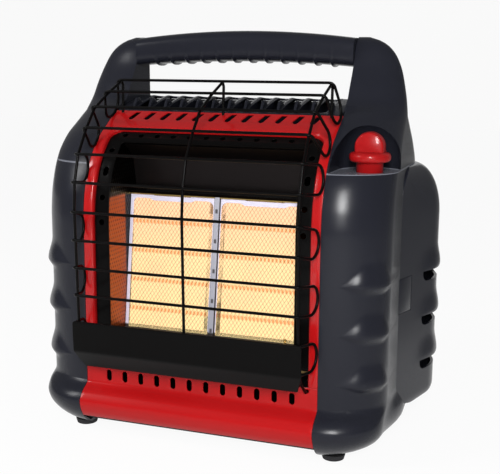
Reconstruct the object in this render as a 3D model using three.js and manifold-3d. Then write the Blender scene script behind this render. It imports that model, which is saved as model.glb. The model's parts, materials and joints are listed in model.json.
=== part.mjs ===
// Portable propane heater: two radiant tiles behind a wire guard, a carrying handle,
// and a small fuel cylinder bay behind a door on each rear corner.
// Millimetres. X runs to the viewer's right, Z up. Until the last lines Y is the depth
// measured back from the guard's front wires; the whole heater is then centred.
import * as THREE from 'three';
import { mergeVertices } from 'three/addons/utils/BufferGeometryUtils.js';
import Module from 'manifold-3d';

const wasm = await Module();
wasm.setup();

// Driving dimensions

const fit = 0.3;
const overrun = 4;
const wallPlastic = 3;
const sheetSteel = 1.2;

const body = {
  depth: 297,
  height: 427,
  armReach: 160,
  backReach: 282,
  halfWidth: 192,
  coreHalfWidth: 130,
  deckHalfWidth: 128,
  cornerDepth: 50,
  underside: 6,
  seamDepth: 132,
};

// Side view of the front edge, as height share of body.height and depth share of armReach
const frontShares = [
  [0.014, 0.3], [0.028, 0.231], [0.047, 0.181], [0.066, 0.15], [0.087, 0.134], [0.108, 0.163],
  [0.133, 0.25], [0.164, 0.25], [0.543, 0.25], [0.597, 0.263], [0.649, 0.3], [0.698, 0.366],
  [0.747, 0.484], [0.775, 0.594], [0.813, 0.756], [0.843, 0.89], [0.876, 0.947], [0.923, 1.031],
  [0.986, 1.119], [1, 1.175],
];

// Side view of the back edge, as height share of body.height and depth share of backReach
const backShares = [
  [0.014, 0.94], [0.028, 0.965], [0.047, 0.985], [0.06, 0.99], [0.686, 0.869], [0.726, 0.837],
  [0.773, 0.8], [0.813, 0.76], [0.843, 0.72], [0.986, 0.715], [1, 0.69],
];

// Front view of the outer edge, as height share of body.height and share of halfWidth
const sideShares = [
  [0.014, 0.833], [0.028, 0.917], [0.047, 0.969], [0.07, 0.995], [0.09, 1], [0.7, 1],
  [0.738, 0.995], [0.775, 0.984], [0.836, 0.967], [0.878, 0.948], [0.913, 0.927],
  [0.937, 0.906], [0.958, 0.88], [0.979, 0.836], [0.993, 0.781], [1, 0.729],
];

const podRib = {
  height: 5,
  reachUp: 24,
  reachDown: 11,
  crests: [83, 134, 184.5],
  tipShare: 0.17,
  fullShare: 0.5,
  fadeShare: 0.7,
  seamShare: 0.25,
  levelGap: 6,
};

// The skirt's swing outwards towards the bay, full up to one height and gone at the next
const skirt = { flare: 9, fullHeight: 40, goneHeight: 58 };

const deck = { height: 358.5, backDepth: 203 };

// Side view of the deck between the arms: depth share of deck.backDepth, height share of deck.height
const deckShares = [[0.739, 0.99], [0.887, 1.007], [1, 1]];

const grip = {
  crown: 434,
  shoulder: 426,
  middleUnderside: 400.5,
  endUnderside: 395,
  depth: 184.5,
  halfDepth: 19.5,
  squareness: 1.3,
  ribDepth: 3,
  ribWidth: 7,
  ribReachShare: 0.7,
};

const slots = { count: 12, pitch: 18.8, topLength: 16, topWidth: 5, topCentre: 113, topSlant: 0.44 };

const bezel = {
  sheet: 1.5,
  lipDepth: 8,
  halfOpening: 119.5,
  openingTop: 329,
  cornerRadius: 14,
  lowerEdge: 79,
  backHeight: 346,
};

const lowerPanel = {
  sheet: 1.5,
  lowerEdge: 20,
  slotCentre: 65,
  slotHeight: 11,
  slotWidth: 5,
  hookHoleRadius: 2.4,
  hookHeight: 70,
  flangeDepth: 12,
};

const frame = {
  setback: 5,
  sheet: 1,
  lowerEdge: 95,
  halfOpening: 103,
  openingTop: 314.5,
  holeRadius: 3,
  holeHeight: 321,
  sideHoleHeights: [232, 258, 306],
  ovalHeight: 285,
  ovalHalfLength: 5,
};

const chassis = {
  halfWidth: 127.7,
  floor: 14,
  floorNeck: 262,
  rimTop: 24,
  rimFront: 46,
  rimBack: 128,
  shieldDepth: 138,
  shieldFoot: 76,
  shieldTop: 330,
  reflectorFoot: 102,
  reflectorTop: 312,
};

// The dark hood over the tiles, from its foot over the clamp bar up to its front edge: (depth, height)
const hood = { sheet: 1, path: [[111, 265], [104, 298], [84, 312]] };

const burner = {
  lean: 0.138,
  footDepth: 80,
  footHeight: 112,
  rimBelow: 3,
  height: 149.5,
  depth: 30,
  halfGap: 4.8,
  border: 4.5,
  tileThickness: 13,
  notchWidth: 40,
  notchDepth: 2,
  mixerRadius: 6,
  mixerWall: 1,
  mixerInset: 22,
  mixerX: 75,
  mixerBend: 7,
  rightMixerDrop: 15,
  leftMixerDrop: 28,
  mixerMouth: 110,
};

const screen = { border: 3, thickness: 1.2, barRadius: 0.5, bars: 4 };

const trim = { barDrop: 1.5, barRise: 2.5, barLeg: 12 };

const wire = {
  radius: 1.5,
  sides: 5,
  halfSpan: 122,
  uprightX: 119,
  weldOverlap: 0.5,
  loopHalfWidth: 129,
  loopRound: 3,
  lowest: 103,
  highest: 379.6,
  topReach: 108,
  legEnd: 344,
  legTop: 374,
  hook: [[46, 70], [34, 70], [20, 84]],
};

// The twelve cross wires from the lowest up: height share of the guard, depth share of topReach
const crossWireShares = [
  [0, 0.042], [0.105, 0.032], [0.2115, 0.024], [0.317, 0.016], [0.4215, 0.008], [0.528, 0],
  [0.636, 0.023], [0.7375, 0.102], [0.83, 0.269], [0.904, 0.444], [0.958, 0.722], [1, 1],
];

// Back end of each pair's loop, as height share of the guard
const loopTipShares = [0.038, 0.246, 0.443, 0.668, 0.768, 0.862];

const plate = { top: 134, crease: 102, lipHeight: 83, lipDepth: 15, halfWidth: 124, lipHalfWidth: 117, thickness: 1.2 };

const grille = { sheet: 2, ribRise: 4, ribWidth: 4.4, slotFront: 126, slotBack: 193, slotWidth: 13 };

const rear = {
  wallDepth: 290,
  wall: 2.5,
  halfWaist: 103.5,
  ringRise: 5.5,
  ringRadius: 50,
  ringWidth: 4,
  louvreRadius: 45,
  louvres: 7,
  louvrePitch: 11,
  louvreHeight: 5,
};

// Side view of the rear cover's back, as height share of body.height and share of wallDepth
const rearShares = [
  [0.02, 1], [0.55, 1], [0.6, 0.985], [0.649, 0.938], [0.686, 0.869], [0.726, 0.82],
  [0.773, 0.783], [0.813, 0.74], [0.84, 0.7],
];

const fan = {
  height: 212,
  back: 280,
  frameHalf: 46,
  frameDepth: 25,
  bore: 41,
  postInset: 5,
  postRadius: 3,
  arms: 3,
  armWidth: 5,
  armThickness: 2,
  bladeRadius: 39,
  hubRadius: 16,
  hubWall: 1.5,
  hubInset: 3,
  blades: 7,
  bladeThickness: 1.6,
  bladeChord: 19,
  bladeTwist: 0.6,
  motorRadius: 13,
  motorLength: 12,
  shaftRadius: 1.5,
};

const duct = {
  halfWidth: 108,
  waistHalf: 99,
  neckDepth: 114,
  waistDepth: 136,
  taperDepth: 222,
  throatHalf: 45,
  floor: 47,
  ceiling: 73,
  throatDepth: 30,
  mouthHalf: 45,
  sheet: 1,
};

const battery = {
  halfWidth: 66,
  floor: 20,
  height: 72,
  depth: 36,
  wall: 1.8,
  coverOverlap: 2,
  coverThickness: 2.5,
  slide: 65,
  railWidth: 3,
  railLip: 2.5,
  lipThickness: 1.3,
  ridgeHalf: 15,
  ridgeHeight: 3,
  ridgeRise: 1.4,
};

const rocker = {
  x: 78,
  halfWidth: 7,
  halfHeight: 10,
  waistHalf: 7,
  front: 280,
  pivotDepth: 284,
  middle: 290.5,
  back: 292,
  pivotRadius: 1.6,
  sweep: 1.8,
  cheek: 2,
};
const socket = { x: -78, radius: 6, flange: 8, flangeRise: 1.5, bore: 3, pinRadius: 0.8, depth: 16, boreDepth: 12 };

const knob = {
  x: 165,
  depth: 92,
  ledge: 293,
  nicheRadius: 33,
  nicheShift: 4,
  nicheStraight: 8,
  nicheDome: 43,
  neckFoot: 283.3,
  neckRadius: 13.5,
  neckHole: 14.5,
  flangeRadius: 21,
  neckTop: 303,
  flangeTop: 313,
  top: 333,
  finHalfWidth: 15,
  finHalfDepth: 8,
  travel: 4.5,
  bore: 3.3,
};

const valve = {
  halfWidth: 14,
  halfDepth: 15,
  bottom: 232,
  boreFoot: 244,
  stemFoot: 249.5,
  stemTop: 306,
  top: 266,
  bonnetRadius: 12,
  bonnetTop: 272,
  stemRadius: 3,
  collarRadius: 8,
  collarThickness: 3,
  bracketThickness: 3,
  bracketHalf: 10,
  bracketHeight: 240,
  tubeRadius: 3,
};

const igniter = { x: 170, radius: 6.5, bottom: 236, top: 268, buttonRadius: 3, fingerWidth: 6, fingerReach: 4 };

const jets = { length: 8, margin: 6, tipLength: 6.5, tipRadius: 3, bend: 6, tubeX: [158, 170] };

const pilot = {
  x: 92,
  depth: 64,
  tubeHeight: 86,
  top: 112,
  tubeRadius: 2,
  bend: 5,
  headRadius: 4,
  plate: 1.5,
  shelfHeight: 103,
  shelfFront: 57,
  shelfBack: 77.5,
  shelfEnd: 81,
  probeX: 85.5,
  probeDepth: 71.5,
  probeRadius: 1.6,
  probeTop: 117,
  sparkX: 98,
  sparkRadius: 2.2,
  sparkTipRadius: 0.7,
  sparkTop: 117,
  nutRise: 2.5,
  nutWidth: 1.2,
  tail: 8,
  riserX: 166,
};

const regulator = {
  x: 155,
  depth: 222,
  socketRadius: 15,
  socketBore: 12.5,
  socketFoot: 222,
  bodyFoot: 238,
  bodyRadius: 25,
  bodyTop: 256,
  bonnetRadius: 17,
  bonnetTop: 262,
  pivotX: 142,
  pivotDepth: 152,
  pinRadius: 3,
  barrelRadius: 7,
  armWidth: 12,
  armFoot: 242,
  armTop: 250,
  earThickness: 3,
  earFoot: 229,
  earTop: 273,
  plateHalf: 8,
  plateFoot: 222,
  plateTop: 280,
  plateThickness: 3,
};

const supply = { x: 156, height: 250, radius: 4, runHeight: 279, feedDepth: 138, bend: 4 };

const door = {
  thickness: 3,
  foot: 27,
  frontRise: 15,
  riseReach: 58,
  top: 292.5,
  domeFoot: 235,
  bulgeX: 161,
  bulgeDepth: 222,
  bulgeRadius: 56,
  flushX: 141,
  flushDepth: 196,
  flushRadius: 49.5,
  footTuck: 6,
  footRound: 12,
  hingeEndX: 119,
  arcSteps: 7,
  ribDrop: 6,
  ribStartShare: 0.6,
  ribHeightShare: 0.65,
  ribFadeShare: 0.35,
  domeShares: [0, 0.35, 0.6, 0.8, 0.92, 1],
  slotDrop: 3.5,
  slotHeight: 12,
  slotRound: 14,
  slotFront: 184,
  slotBack: 256,
  slotInner: 180,
};

const hinge = { x: 113, depth: 283.5, radius: 4.5, pinRadius: 2, foot: 34, top: 230, knuckle: 22, carrier: 14, tail: 4 };

const latch = {
  height: 157,
  halfHeight: 19,
  nose: 1.8,
  length: 27,
  thickness: 2.4,
  padThickness: 3,
  padMargin: 4,
  pinRadius: 0.8,
  pinInset: 2,
  pinDepth: 1.6,
  pinReach: 2,
  swingRoom: 1.2,
};

const tipSwitch = { radius: 9, depth: 95, foot: 60, top: 86 };

const foot = { radius: 12.5, stem: 3, stemTop: 12, flange: 5, x: 143, frontDepth: 60, backDepth: 246 };

// Small helpers

const paint = (colour, roughness, metalness) => new THREE.MeshStandardMaterial({ color: colour, roughness, metalness });
const finishes = {
  housing: paint(0x2a2c36, 0.55, 0),
  red: paint(0xbd1512, 0.3, 0.1),
  redPlastic: paint(0xc01510, 0.4, 0),
  blackSteel: paint(0x151517, 0.45, 0.4),
  steel: paint(0x9a9ca0, 0.35, 0.9),
  polished: paint(0xc8c4be, 0.15, 1),
  tile: paint(0xffa860, 0.8, 0),
  brass: paint(0xb58b3c, 0.3, 1),
  rubber: paint(0x18181a, 0.9, 0),
  ceramic: paint(0xe8e2da, 0.6, 0),
  darkPlastic: paint(0x202126, 0.6, 0),
};

function signedVolume(corners, triangles) {
  let sum = 0;
  const [a, b, c] = [new THREE.Vector3(), new THREE.Vector3(), new THREE.Vector3()];
  for (let i = 0; i < triangles.length; i += 3) {
    a.fromArray(corners, triangles[i] * 3);
    b.fromArray(corners, triangles[i + 1] * 3);
    c.fromArray(corners, triangles[i + 2] * 3);
    sum += a.dot(b.cross(c));
  }
  return sum;
}

// A closed three.js geometry as a solid that can be cut and joined
function solid(geometry) {
  const bare = geometry.clone();
  bare.deleteAttribute('normal');
  bare.deleteAttribute('uv');
  const merged = mergeVertices(bare);
  const corners = merged.attributes.position.array;
  const triangles = [];
  const index = merged.index.array;
  for (let i = 0; i < index.length; i += 3) {
    const [a, b, c] = [index[i], index[i + 1], index[i + 2]];
    if (a !== b && b !== c && c !== a) triangles.push(a, b, c);
  }
  if (signedVolume(corners, triangles) < 0) triangles.reverse();
  const vertProperties = new Float32Array(corners);
  return new wasm.Manifold(new wasm.Mesh({ numProp: 3, vertProperties, triVerts: new Uint32Array(triangles) }));
}

const join = (pieces) => pieces.reduce((whole, piece) => whole.add(piece));
const cut = (whole, pieces) => pieces.reduce((rest, piece) => rest.subtract(piece), whole);

function asGeometry(shape) {
  const mesh = shape.getMesh();
  const geometry = new THREE.BufferGeometry();
  geometry.setAttribute('position', new THREE.BufferAttribute(new Float32Array(mesh.vertProperties), 3));
  geometry.setIndex(new THREE.BufferAttribute(new Uint32Array(mesh.triVerts), 1));
  geometry.computeVertexNormals();
  return geometry;
}

const heater = new THREE.Group();

function place(name, shape, material, parent = heater) {
  const mesh = new THREE.Mesh(asGeometry(shape), material);
  mesh.name = name;
  parent.add(mesh);
  return mesh;
}

function block([x0, x1], [y0, y1], [z0, z1]) {
  const geometry = new THREE.BoxGeometry(x1 - x0, y1 - y0, z1 - z0);
  geometry.translate((x0 + x1) / 2, (y0 + y1) / 2, (z0 + z1) / 2);
  return solid(geometry);
}

const around = (centre, half) => [centre - half, centre + half];
const span = (half) => [-half, half];

const outline = (points) => new THREE.Shape(points.map(([u, v]) => new THREE.Vector2(u, v)));

function extrude(shape, length, curveSegments = 8) {
  return new THREE.ExtrudeGeometry(shape, { depth: length, bevelEnabled: false, curveSegments });
}

const axisX = new THREE.Vector3(1, 0, 0);
const axisY = new THREE.Vector3(0, 1, 0);
const axisZ = new THREE.Vector3(0, 0, 1);

// A side-view shape (depth, height) run across the width
function acrossWidth(shape, x0, x1) {
  const geometry = extrude(shape, x1 - x0);
  geometry.applyMatrix4(new THREE.Matrix4().makeBasis(axisY, axisZ, axisX));
  geometry.translate(x0, 0, 0);
  return solid(geometry);
}

// A front-view shape (width, height) run through the depth
function throughDepth(shape, y0, y1) {
  const geometry = extrude(shape, y1 - y0);
  geometry.applyMatrix4(new THREE.Matrix4().makeBasis(axisX, axisZ, axisY.clone().negate()));
  geometry.translate(0, y1, 0);
  return solid(geometry);
}

// A plan shape (width, depth) run up the height
function upHeight(shape, z0, z1) {
  const geometry = extrude(shape, z1 - z0);
  geometry.translate(0, 0, z0);
  return solid(geometry);
}

function rod(from, to, radius, sides = 10) {
  const start = new THREE.Vector3(...from);
  const run = new THREE.Vector3(...to).sub(start);
  const geometry = new THREE.CylinderGeometry(radius, radius, run.length(), sides);
  geometry.translate(0, run.length() / 2, 0);
  geometry.applyQuaternion(new THREE.Quaternion().setFromUnitVectors(axisY, run.clone().normalize()));
  geometry.translate(start.x, start.y, start.z);
  return solid(geometry);
}

// Turned about an upright axis; the profile is (radius, height) and closes on the axis or itself
function turned(profile, x, y, sides = 24) {
  const geometry = new THREE.LatheGeometry(profile.map(([r, z]) => new THREE.Vector2(r, z)), sides);
  geometry.rotateX(Math.PI / 2);
  geometry.translate(x, y, 0);
  return solid(geometry);
}

function stadium(halfWidth, halfLength) {
  const shape = new THREE.Shape();
  const straight = halfLength - halfWidth;
  shape.absarc(0, straight, halfWidth, 0, Math.PI);
  shape.absarc(0, -straight, halfWidth, Math.PI, Math.PI * 2);
  return shape;
}

// Sections with equal counts of points, skinned and capped flat at both ends
function loft(sections, turn = new THREE.Matrix4()) {
  const count = sections[0].length;
  const corners = sections.flat(2);
  const triangles = [];
  for (let s = 0; s + 1 < sections.length; s += 1) {
    for (let i = 0; i < count; i += 1) {
      const a = s * count + i;
      const b = s * count + (i + 1) % count;
      triangles.push(a, b, b + count, a, b + count, a + count);
    }
  }
  const flat = (section) => section.map(([x, y]) => new THREE.Vector2(x, y));
  const last = (sections.length - 1) * count;
  const turnedLeft = THREE.ShapeUtils.area(flat(sections[0])) > 0;
  for (const [section, base, up] of [[sections[0], 0, false], [sections.at(-1), last, true]]) {
    for (const [a, b, c] of THREE.ShapeUtils.triangulateShape(flat(section), [])) {
      const faces = up === turnedLeft ? [a, b, c] : [a, c, b];
      triangles.push(...faces.map((corner) => corner + base));
    }
  }
  const geometry = new THREE.BufferGeometry();
  geometry.setAttribute('position', new THREE.Float32BufferAttribute(corners, 3));
  geometry.setIndex(triangles);
  geometry.applyMatrix4(turn);
  return solid(geometry);
}

// A round wire or tube through the given points; a closed one joins its end to its start
function tube(points, radius, sides = wire.sides, closed = false) {
  const path = points.map((point) => new THREE.Vector3(...point));
  const count = path.length;
  const tangents = path.map((point, i) => {
    const before = closed ? path[(i + count - 1) % count] : path[Math.max(i - 1, 0)];
    const after = closed ? path[(i + 1) % count] : path[Math.min(i + 1, count - 1)];
    const arriving = point.clone().sub(before).normalize();
    const leaving = after.clone().sub(point).normalize();
    return arriving.add(leaving).normalize();
  });
  const normals = [new THREE.Vector3()];
  const least = Math.abs(tangents[0].z) < Math.SQRT1_2 ? axisZ : axisX;
  normals[0].crossVectors(tangents[0], least).normalize();
  const carry = (normal, tangent) => normal.clone().addScaledVector(tangent, -normal.dot(tangent)).normalize();
  for (let i = 1; i < count; i += 1) normals.push(carry(normals[i - 1], tangents[i]));
  let twist = 0;
  if (closed) {
    const home = carry(normals[count - 1], tangents[0]);
    const side = new THREE.Vector3().crossVectors(tangents[0], home);
    twist = -Math.atan2(normals[0].clone().negate().dot(side), normals[0].dot(home));
  }
  const corners = [];
  for (let i = 0; i < count; i += 1) {
    const side = new THREE.Vector3().crossVectors(tangents[i], normals[i]);
    for (let k = 0; k < sides; k += 1) {
      const angle = (k / sides) * Math.PI * 2 + (twist * i) / count;
      const spoke = normals[i].clone().multiplyScalar(Math.cos(angle) * radius);
      corners.push(...path[i].clone().add(spoke.addScaledVector(side, Math.sin(angle) * radius)).toArray());
    }
  }
  const triangles = [];
  const rings = closed ? count : count - 1;
  for (let i = 0; i < rings; i += 1) {
    const next = ((i + 1) % count) * sides;
    for (let k = 0; k < sides; k += 1) {
      const [a, b] = [k, (k + 1) % sides];
      triangles.push(i * sides + a, i * sides + b, next + b, i * sides + a, next + b, next + a);
    }
  }
  if (!closed) {
    for (let k = 1; k + 1 < sides; k += 1) {
      const end = (count - 1) * sides;
      triangles.push(0, k + 1, k, end, end + k, end + k + 1);
    }
  }
  const geometry = new THREE.BufferGeometry();
  geometry.setAttribute('position', new THREE.Float32BufferAttribute(corners, 3));
  geometry.setIndex(triangles);
  return solid(geometry);
}

// Smooth curve through a table of shares, without overshoot; heights in, depths or widths out
function curveThrough(shares, heightUnit, reachUnit) {
  const zs = shares.map(([z]) => z * heightUnit);
  const vs = shares.map(([, v]) => v * reachUnit);
  const slopes = zs.slice(1).map((z, i) => (vs[i + 1] - vs[i]) / (z - zs[i]));
  const bends = zs.map((_, i) => {
    const [before, after] = [slopes[i - 1] ?? slopes[i], slopes[i] ?? slopes[i - 1]];
    return before * after <= 0 ? 0 : (2 * before * after) / (before + after);
  });
  return (z) => {
    const low = zs.findLastIndex((station) => station <= z);
    const i = Math.min(Math.max(low, 0), zs.length - 2);
    const step = zs[i + 1] - zs[i];
    const t = Math.min(Math.max((z - zs[i]) / step, 0), 1);
    const [t2, t3] = [t * t, t * t * t];
    const start = (2 * t3 - 3 * t2 + 1) * vs[i] + (t3 - 2 * t2 + t) * step * bends[i];
    return start + (3 * t2 - 2 * t3) * vs[i + 1] + (t3 - t2) * step * bends[i + 1];
  };
}

const smooth = (value) => {
  const t = Math.min(Math.max(value, 0), 1);
  return t * t * (3 - 2 * t);
};

// Body surfaces that every outside piece follows

const frontAt = curveThrough(frontShares, body.height, body.armReach);
const backAt = curveThrough(backShares, body.height, body.backReach);
const sideAt = curveThrough(sideShares, body.height, body.halfWidth);
const podInner = body.coreHalfWidth + fit;

// The front edge between two heights as (depth, height) points
function frontPath(low, high) {
  const stations = frontShares.map(([share]) => share * body.height);
  const inside = stations.filter((z) => z > low + fit && z < high - fit);
  const onChord = (z) => {
    const i = Math.min(Math.max(stations.findLastIndex((station) => station <= z), 0), stations.length - 2);
    const t = (z - stations[i]) / (stations[i + 1] - stations[i]);
    return frontAt(stations[i]) * (1 - t) + frontAt(stations[i + 1]) * t;
  };
  return [low, ...inside, high].map((z) => [onChord(z), z]);
}

// The same line moved inwards, square to itself
function inset(path, distance) {
  return path.map(([y, z], i) => {
    const [y0, z0] = path[Math.max(i - 1, 0)];
    const [y1, z1] = path[Math.min(i + 1, path.length - 1)];
    const run = Math.hypot(y1 - y0, z1 - z0);
    return [y + (distance * (z1 - z0)) / run, z - (distance * (y1 - y0)) / run];
  });
}

const sheetAlong = (path, near, far) => outline([...inset(path, near), ...inset(path, far).reverse()]);

const slotPlaces = Array.from({ length: slots.count }, (_, i) => (i - (slots.count - 1) / 2) * slots.pitch);

// Side housings

const cornerSteps = 6;
const backSteps = 3;

// Finger ribs: pointed at the front of the corner, full beside it, low at the seam, sharp below
function ribRise(z, share) {
  const grown = smooth((share - podRib.tipShare) / (podRib.fullShare - podRib.tipShare));
  const faded = smooth((share - podRib.fadeShare) / (1 - podRib.fadeShare));
  const weight = grown * (1 - faded * (1 - podRib.seamShare));
  if (weight === 0) return 0;
  return podRib.crests.reduce((rise, crest) => {
    const gap = z - crest;
    const reach = gap > 0 ? podRib.reachUp * weight : podRib.reachDown * weight;
    return rise + podRib.height * weight * (1 - smooth(Math.abs(gap) / reach));
  }, 0);
}

function podSection(z, thickness, ribbed) {
  const front = frontAt(z) + thickness;
  const back = backAt(z) - thickness;
  const side = sideAt(z) - thickness;
  const corner = Math.min(body.cornerDepth, (back - front) / 2 - fit);
  const inner = thickness ? podInner - overrun : podInner;
  const flare = skirt.flare * (1 - smooth((z - skirt.fullHeight) / (skirt.goneHeight - skirt.fullHeight)));
  const points = [];
  for (let i = 0; i <= cornerSteps; i += 1) {
    const angle = ((i / cornerSteps) * Math.PI) / 2;
    const rise = ribbed ? ribRise(z, i / cornerSteps) : 0;
    const x = inner + (side - inner) * Math.sin(angle) + rise * Math.sin(angle);
    points.push([x, front + corner * (1 - Math.cos(angle)) - rise * Math.cos(angle), z]);
  }
  const frontEnd = front + corner;
  const backStart = back - corner;
  points.push([side + flare, Math.min(Math.max(body.seamDepth, frontEnd + fit), (frontEnd + backStart) / 2), z]);
  for (let i = 0; i <= backSteps; i += 1) {
    const angle = ((1 - i / backSteps) * Math.PI) / 2;
    points.push([inner + (side - inner) * Math.sin(angle), back - corner * (1 - Math.cos(angle)), z]);
  }
  return points;
}

const ribHeights = podRib.crests.flatMap((crest) => [
  crest - podRib.reachDown, crest, crest + podRib.reachUp,
]);
const skirtHeights = [skirt.fullHeight, (skirt.fullHeight + skirt.goneHeight) / 2, skirt.goneHeight];

function podHeights(leastGap = podRib.levelGap) {
  const stations = [...frontShares, ...sideShares].map(([share]) => share * body.height);
  const all = [...ribHeights, ...skirtHeights, ...stations].sort((a, b) => a - b);
  const kept = all.reduce((chosen, z) => (z - chosen.at(-1) > leastGap ? [...chosen, z] : chosen), [all[0]]);
  kept.pop();
  return [...kept, body.height];
}

const cavityTop = knob.ledge - wallPlastic;

function podShell() {
  const outer = loft(podHeights().map((z) => podSection(z, 0, true)));
  const stripHeights = podHeights().filter((z) => z > door.top);
  const cheek = loft(stripHeights.map((z) => {
    const front = Math.max(frontAt(z), body.seamDepth);
    const [inner, outerX] = [body.deckHalfWidth, podInner + fit];
    return [[inner, front, z], [outerX, front, z], [outerX, backAt(z), z], [inner, backAt(z), z]];
  }));
  const floor = body.underside + wallPlastic;
  const innerHeights = podHeights(body.cornerDepth / 2).filter((z) => z > floor + podRib.levelGap && z < cavityTop);
  const innerLoft = loft([floor, ...innerHeights, cavityTop].map((z) => podSection(z, wallPlastic, false)));
  const seamWall = body.seamDepth - wallPlastic;
  const wide = [-body.halfWidth, body.halfWidth * 2];
  const frontRoom = block(wide, [-overrun, seamWall], [0, body.height])
    .add(block(wide, [seamWall - fit, body.depth], [0, door.foot - fit - wallPlastic]));
  const doorway = acrossWidth(doorwayShape(0), 0, body.halfWidth * 2);
  const cornerRoom = block(
    [0, body.halfWidth - wallPlastic * 2],
    [body.seamDepth, body.backReach],
    [door.domeFoot, door.top + fit],
  );
  return cut(outer.add(cheek), [innerLoft.intersect(frontRoom), doorway, cornerRoom, shoulderRoom()]);
}

// Side view of the door opening, grown by a margin
function doorwayShape(margin) {
  const shape = new THREE.Shape();
  const seam = body.seamDepth - margin;
  const top = door.top + fit + margin;
  const low = door.foot - fit - margin;
  const round = knob.nicheRadius;
  const back = body.backReach + overrun;
  shape.moveTo(seam, low + door.frontRise);
  shape.quadraticCurveTo(seam + door.riseReach / 2, low, seam + door.riseReach, low);
  shape.lineTo(back, low);
  shape.lineTo(back, top);
  shape.lineTo(seam + round, top);
  shape.absellipse(seam + round, top - round, round, round, Math.PI / 2, Math.PI);
  shape.closePath();
  return shape;
}

// Room over the bay, up inside the shoulder
function shoulderRoom() {
  const low = door.top - overrun;
  const heights = [low, ...podHeights(podRib.reachUp / 2).filter((z) => z > low && z < deck.height - wallPlastic * 5)];
  const inner = loft(heights.map((z) => podSection(z, wallPlastic * 1.5, false)));
  const front = body.seamDepth + wallPlastic;
  return inner.intersect(block([podInner, body.halfWidth * 2], [front, body.depth], [0, body.height]));
}

function knobNiche() {
  const centre = knob.depth + knob.nicheShift;
  const springing = knob.ledge + knob.nicheStraight;
  const profile = [[0, knob.ledge], [knob.nicheRadius, knob.ledge]];
  const steps = 6;
  for (let i = 0; i <= steps; i += 1) {
    const angle = ((i / steps) * Math.PI) / 2;
    const r = i === steps ? 0 : knob.nicheRadius * Math.cos(angle);
    profile.push([r, springing + knob.nicheDome * Math.sin(angle)]);
  }
  const bullet = turned(profile, knob.x, centre, 28);
  const arch = new THREE.Shape();
  arch.moveTo(knob.x - knob.nicheRadius, knob.ledge);
  arch.lineTo(knob.x + knob.nicheRadius, knob.ledge);
  arch.absellipse(knob.x, springing, knob.nicheRadius, knob.nicheDome, 0, Math.PI);
  arch.closePath();
  return bullet.add(throughDepth(arch, -overrun, centre));
}

function makePods() {
  const right = podShell();
  const left = mirrorX(right);
  const neck = rod([knob.x, knob.depth, cavityTop - overrun], [knob.x, knob.depth, knob.ledge + overrun], knob.neckHole, 24);
  const holes = (side) => footPlaces(side).flatMap(([x, y]) => [
    rod([x, y, 0], [x, y, foot.stemTop + fit], foot.stem + fit, 10),
    rod([x, y, body.underside + wallPlastic], [x, y, foot.stemTop + fit], foot.flange + fit, 10),
  ]);
  const fixings = (side) => [...holes(side), latchPocket(side)];
  place('right_pod', cut(right, [knobNiche(), neck, tubeHole(), ...fixings(1)]), finishes.housing);
  place('left_pod', cut(left, [...fixings(-1)]), finishes.housing);
}

// Mirror image of a solid, left for right
function mirrorX(shape) {
  const geometry = asGeometry(shape);
  geometry.scale(-1, 1, 1);
  return solid(geometry);
}

const footPlaces = (side) => [[side * foot.x, foot.frontDepth], [side * foot.x, foot.backDepth]];

function makeFeet() {
  const places = [[1, 'right'], [-1, 'left']];
  for (const [side, name] of places) {
    footPlaces(side).forEach(([x, y], i) => {
      const top = body.underside - fit;
      const profile = [
        [0, 0], [foot.radius - foot.stem / 2, 0], [foot.radius, top], [foot.stem, top],
        [foot.stem, body.underside + wallPlastic + fit], [foot.flange, body.underside + wallPlastic + fit],
        [foot.stem, foot.stemTop], [0, foot.stemTop],
      ];
      place(`${i ? 'rear' : 'front'}_${name}_foot`, turned(profile, x, y, 10), finishes.rubber);
    });
  }
}

// Red front

function makeBezel() {
  const whole = frontPath(bezel.lowerEdge, bezel.backHeight);
  const skin = acrossWidth(sheetAlong(whole, 0, bezel.sheet), -body.coreHalfWidth, body.coreHalfWidth);
  const hole = new THREE.Shape();
  const [half, top, round] = [bezel.halfOpening, bezel.openingTop, bezel.cornerRadius];
  hole.moveTo(-half, bezel.lowerEdge - overrun);
  hole.lineTo(half, bezel.lowerEdge - overrun);
  hole.absarc(half - round, top - round, round, 0, Math.PI / 2);
  hole.absarc(-half + round, top - round, round, Math.PI / 2, Math.PI);
  hole.closePath();
  const opened = skin.subtract(throughDepth(hole, -overrun, body.armReach));
  const sideBand = sheetAlong(frontPath(bezel.lowerEdge, top - round), fit, bezel.lipDepth);
  const sideLips = [-half - bezel.sheet, half].map((x) => acrossWidth(sideBand, x, x + bezel.sheet));
  const topBand = sheetAlong(frontPath(top + fit, top + fit + bezel.sheet), fit, bezel.lipDepth);
  const topLip = acrossWidth(topBand, round - half, half - round);
  const slotShape = stadium(slots.topWidth / 2, slots.topLength / 2);
  const slotCuts = slotPlaces.map((x) => {
    const slanted = slotShape.getPoints(2).map((p) => p.rotateAround(new THREE.Vector2(), -slots.topSlant));
    const moved = outline(slanted.map((p) => [p.x + x, p.y + slots.topCentre]));
    return upHeight(moved, bezel.openingTop - bezel.lipDepth, body.height);
  });
  place('front_bezel', cut(join([opened, ...sideLips, topLip]), slotCuts), finishes.red);
}

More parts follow.
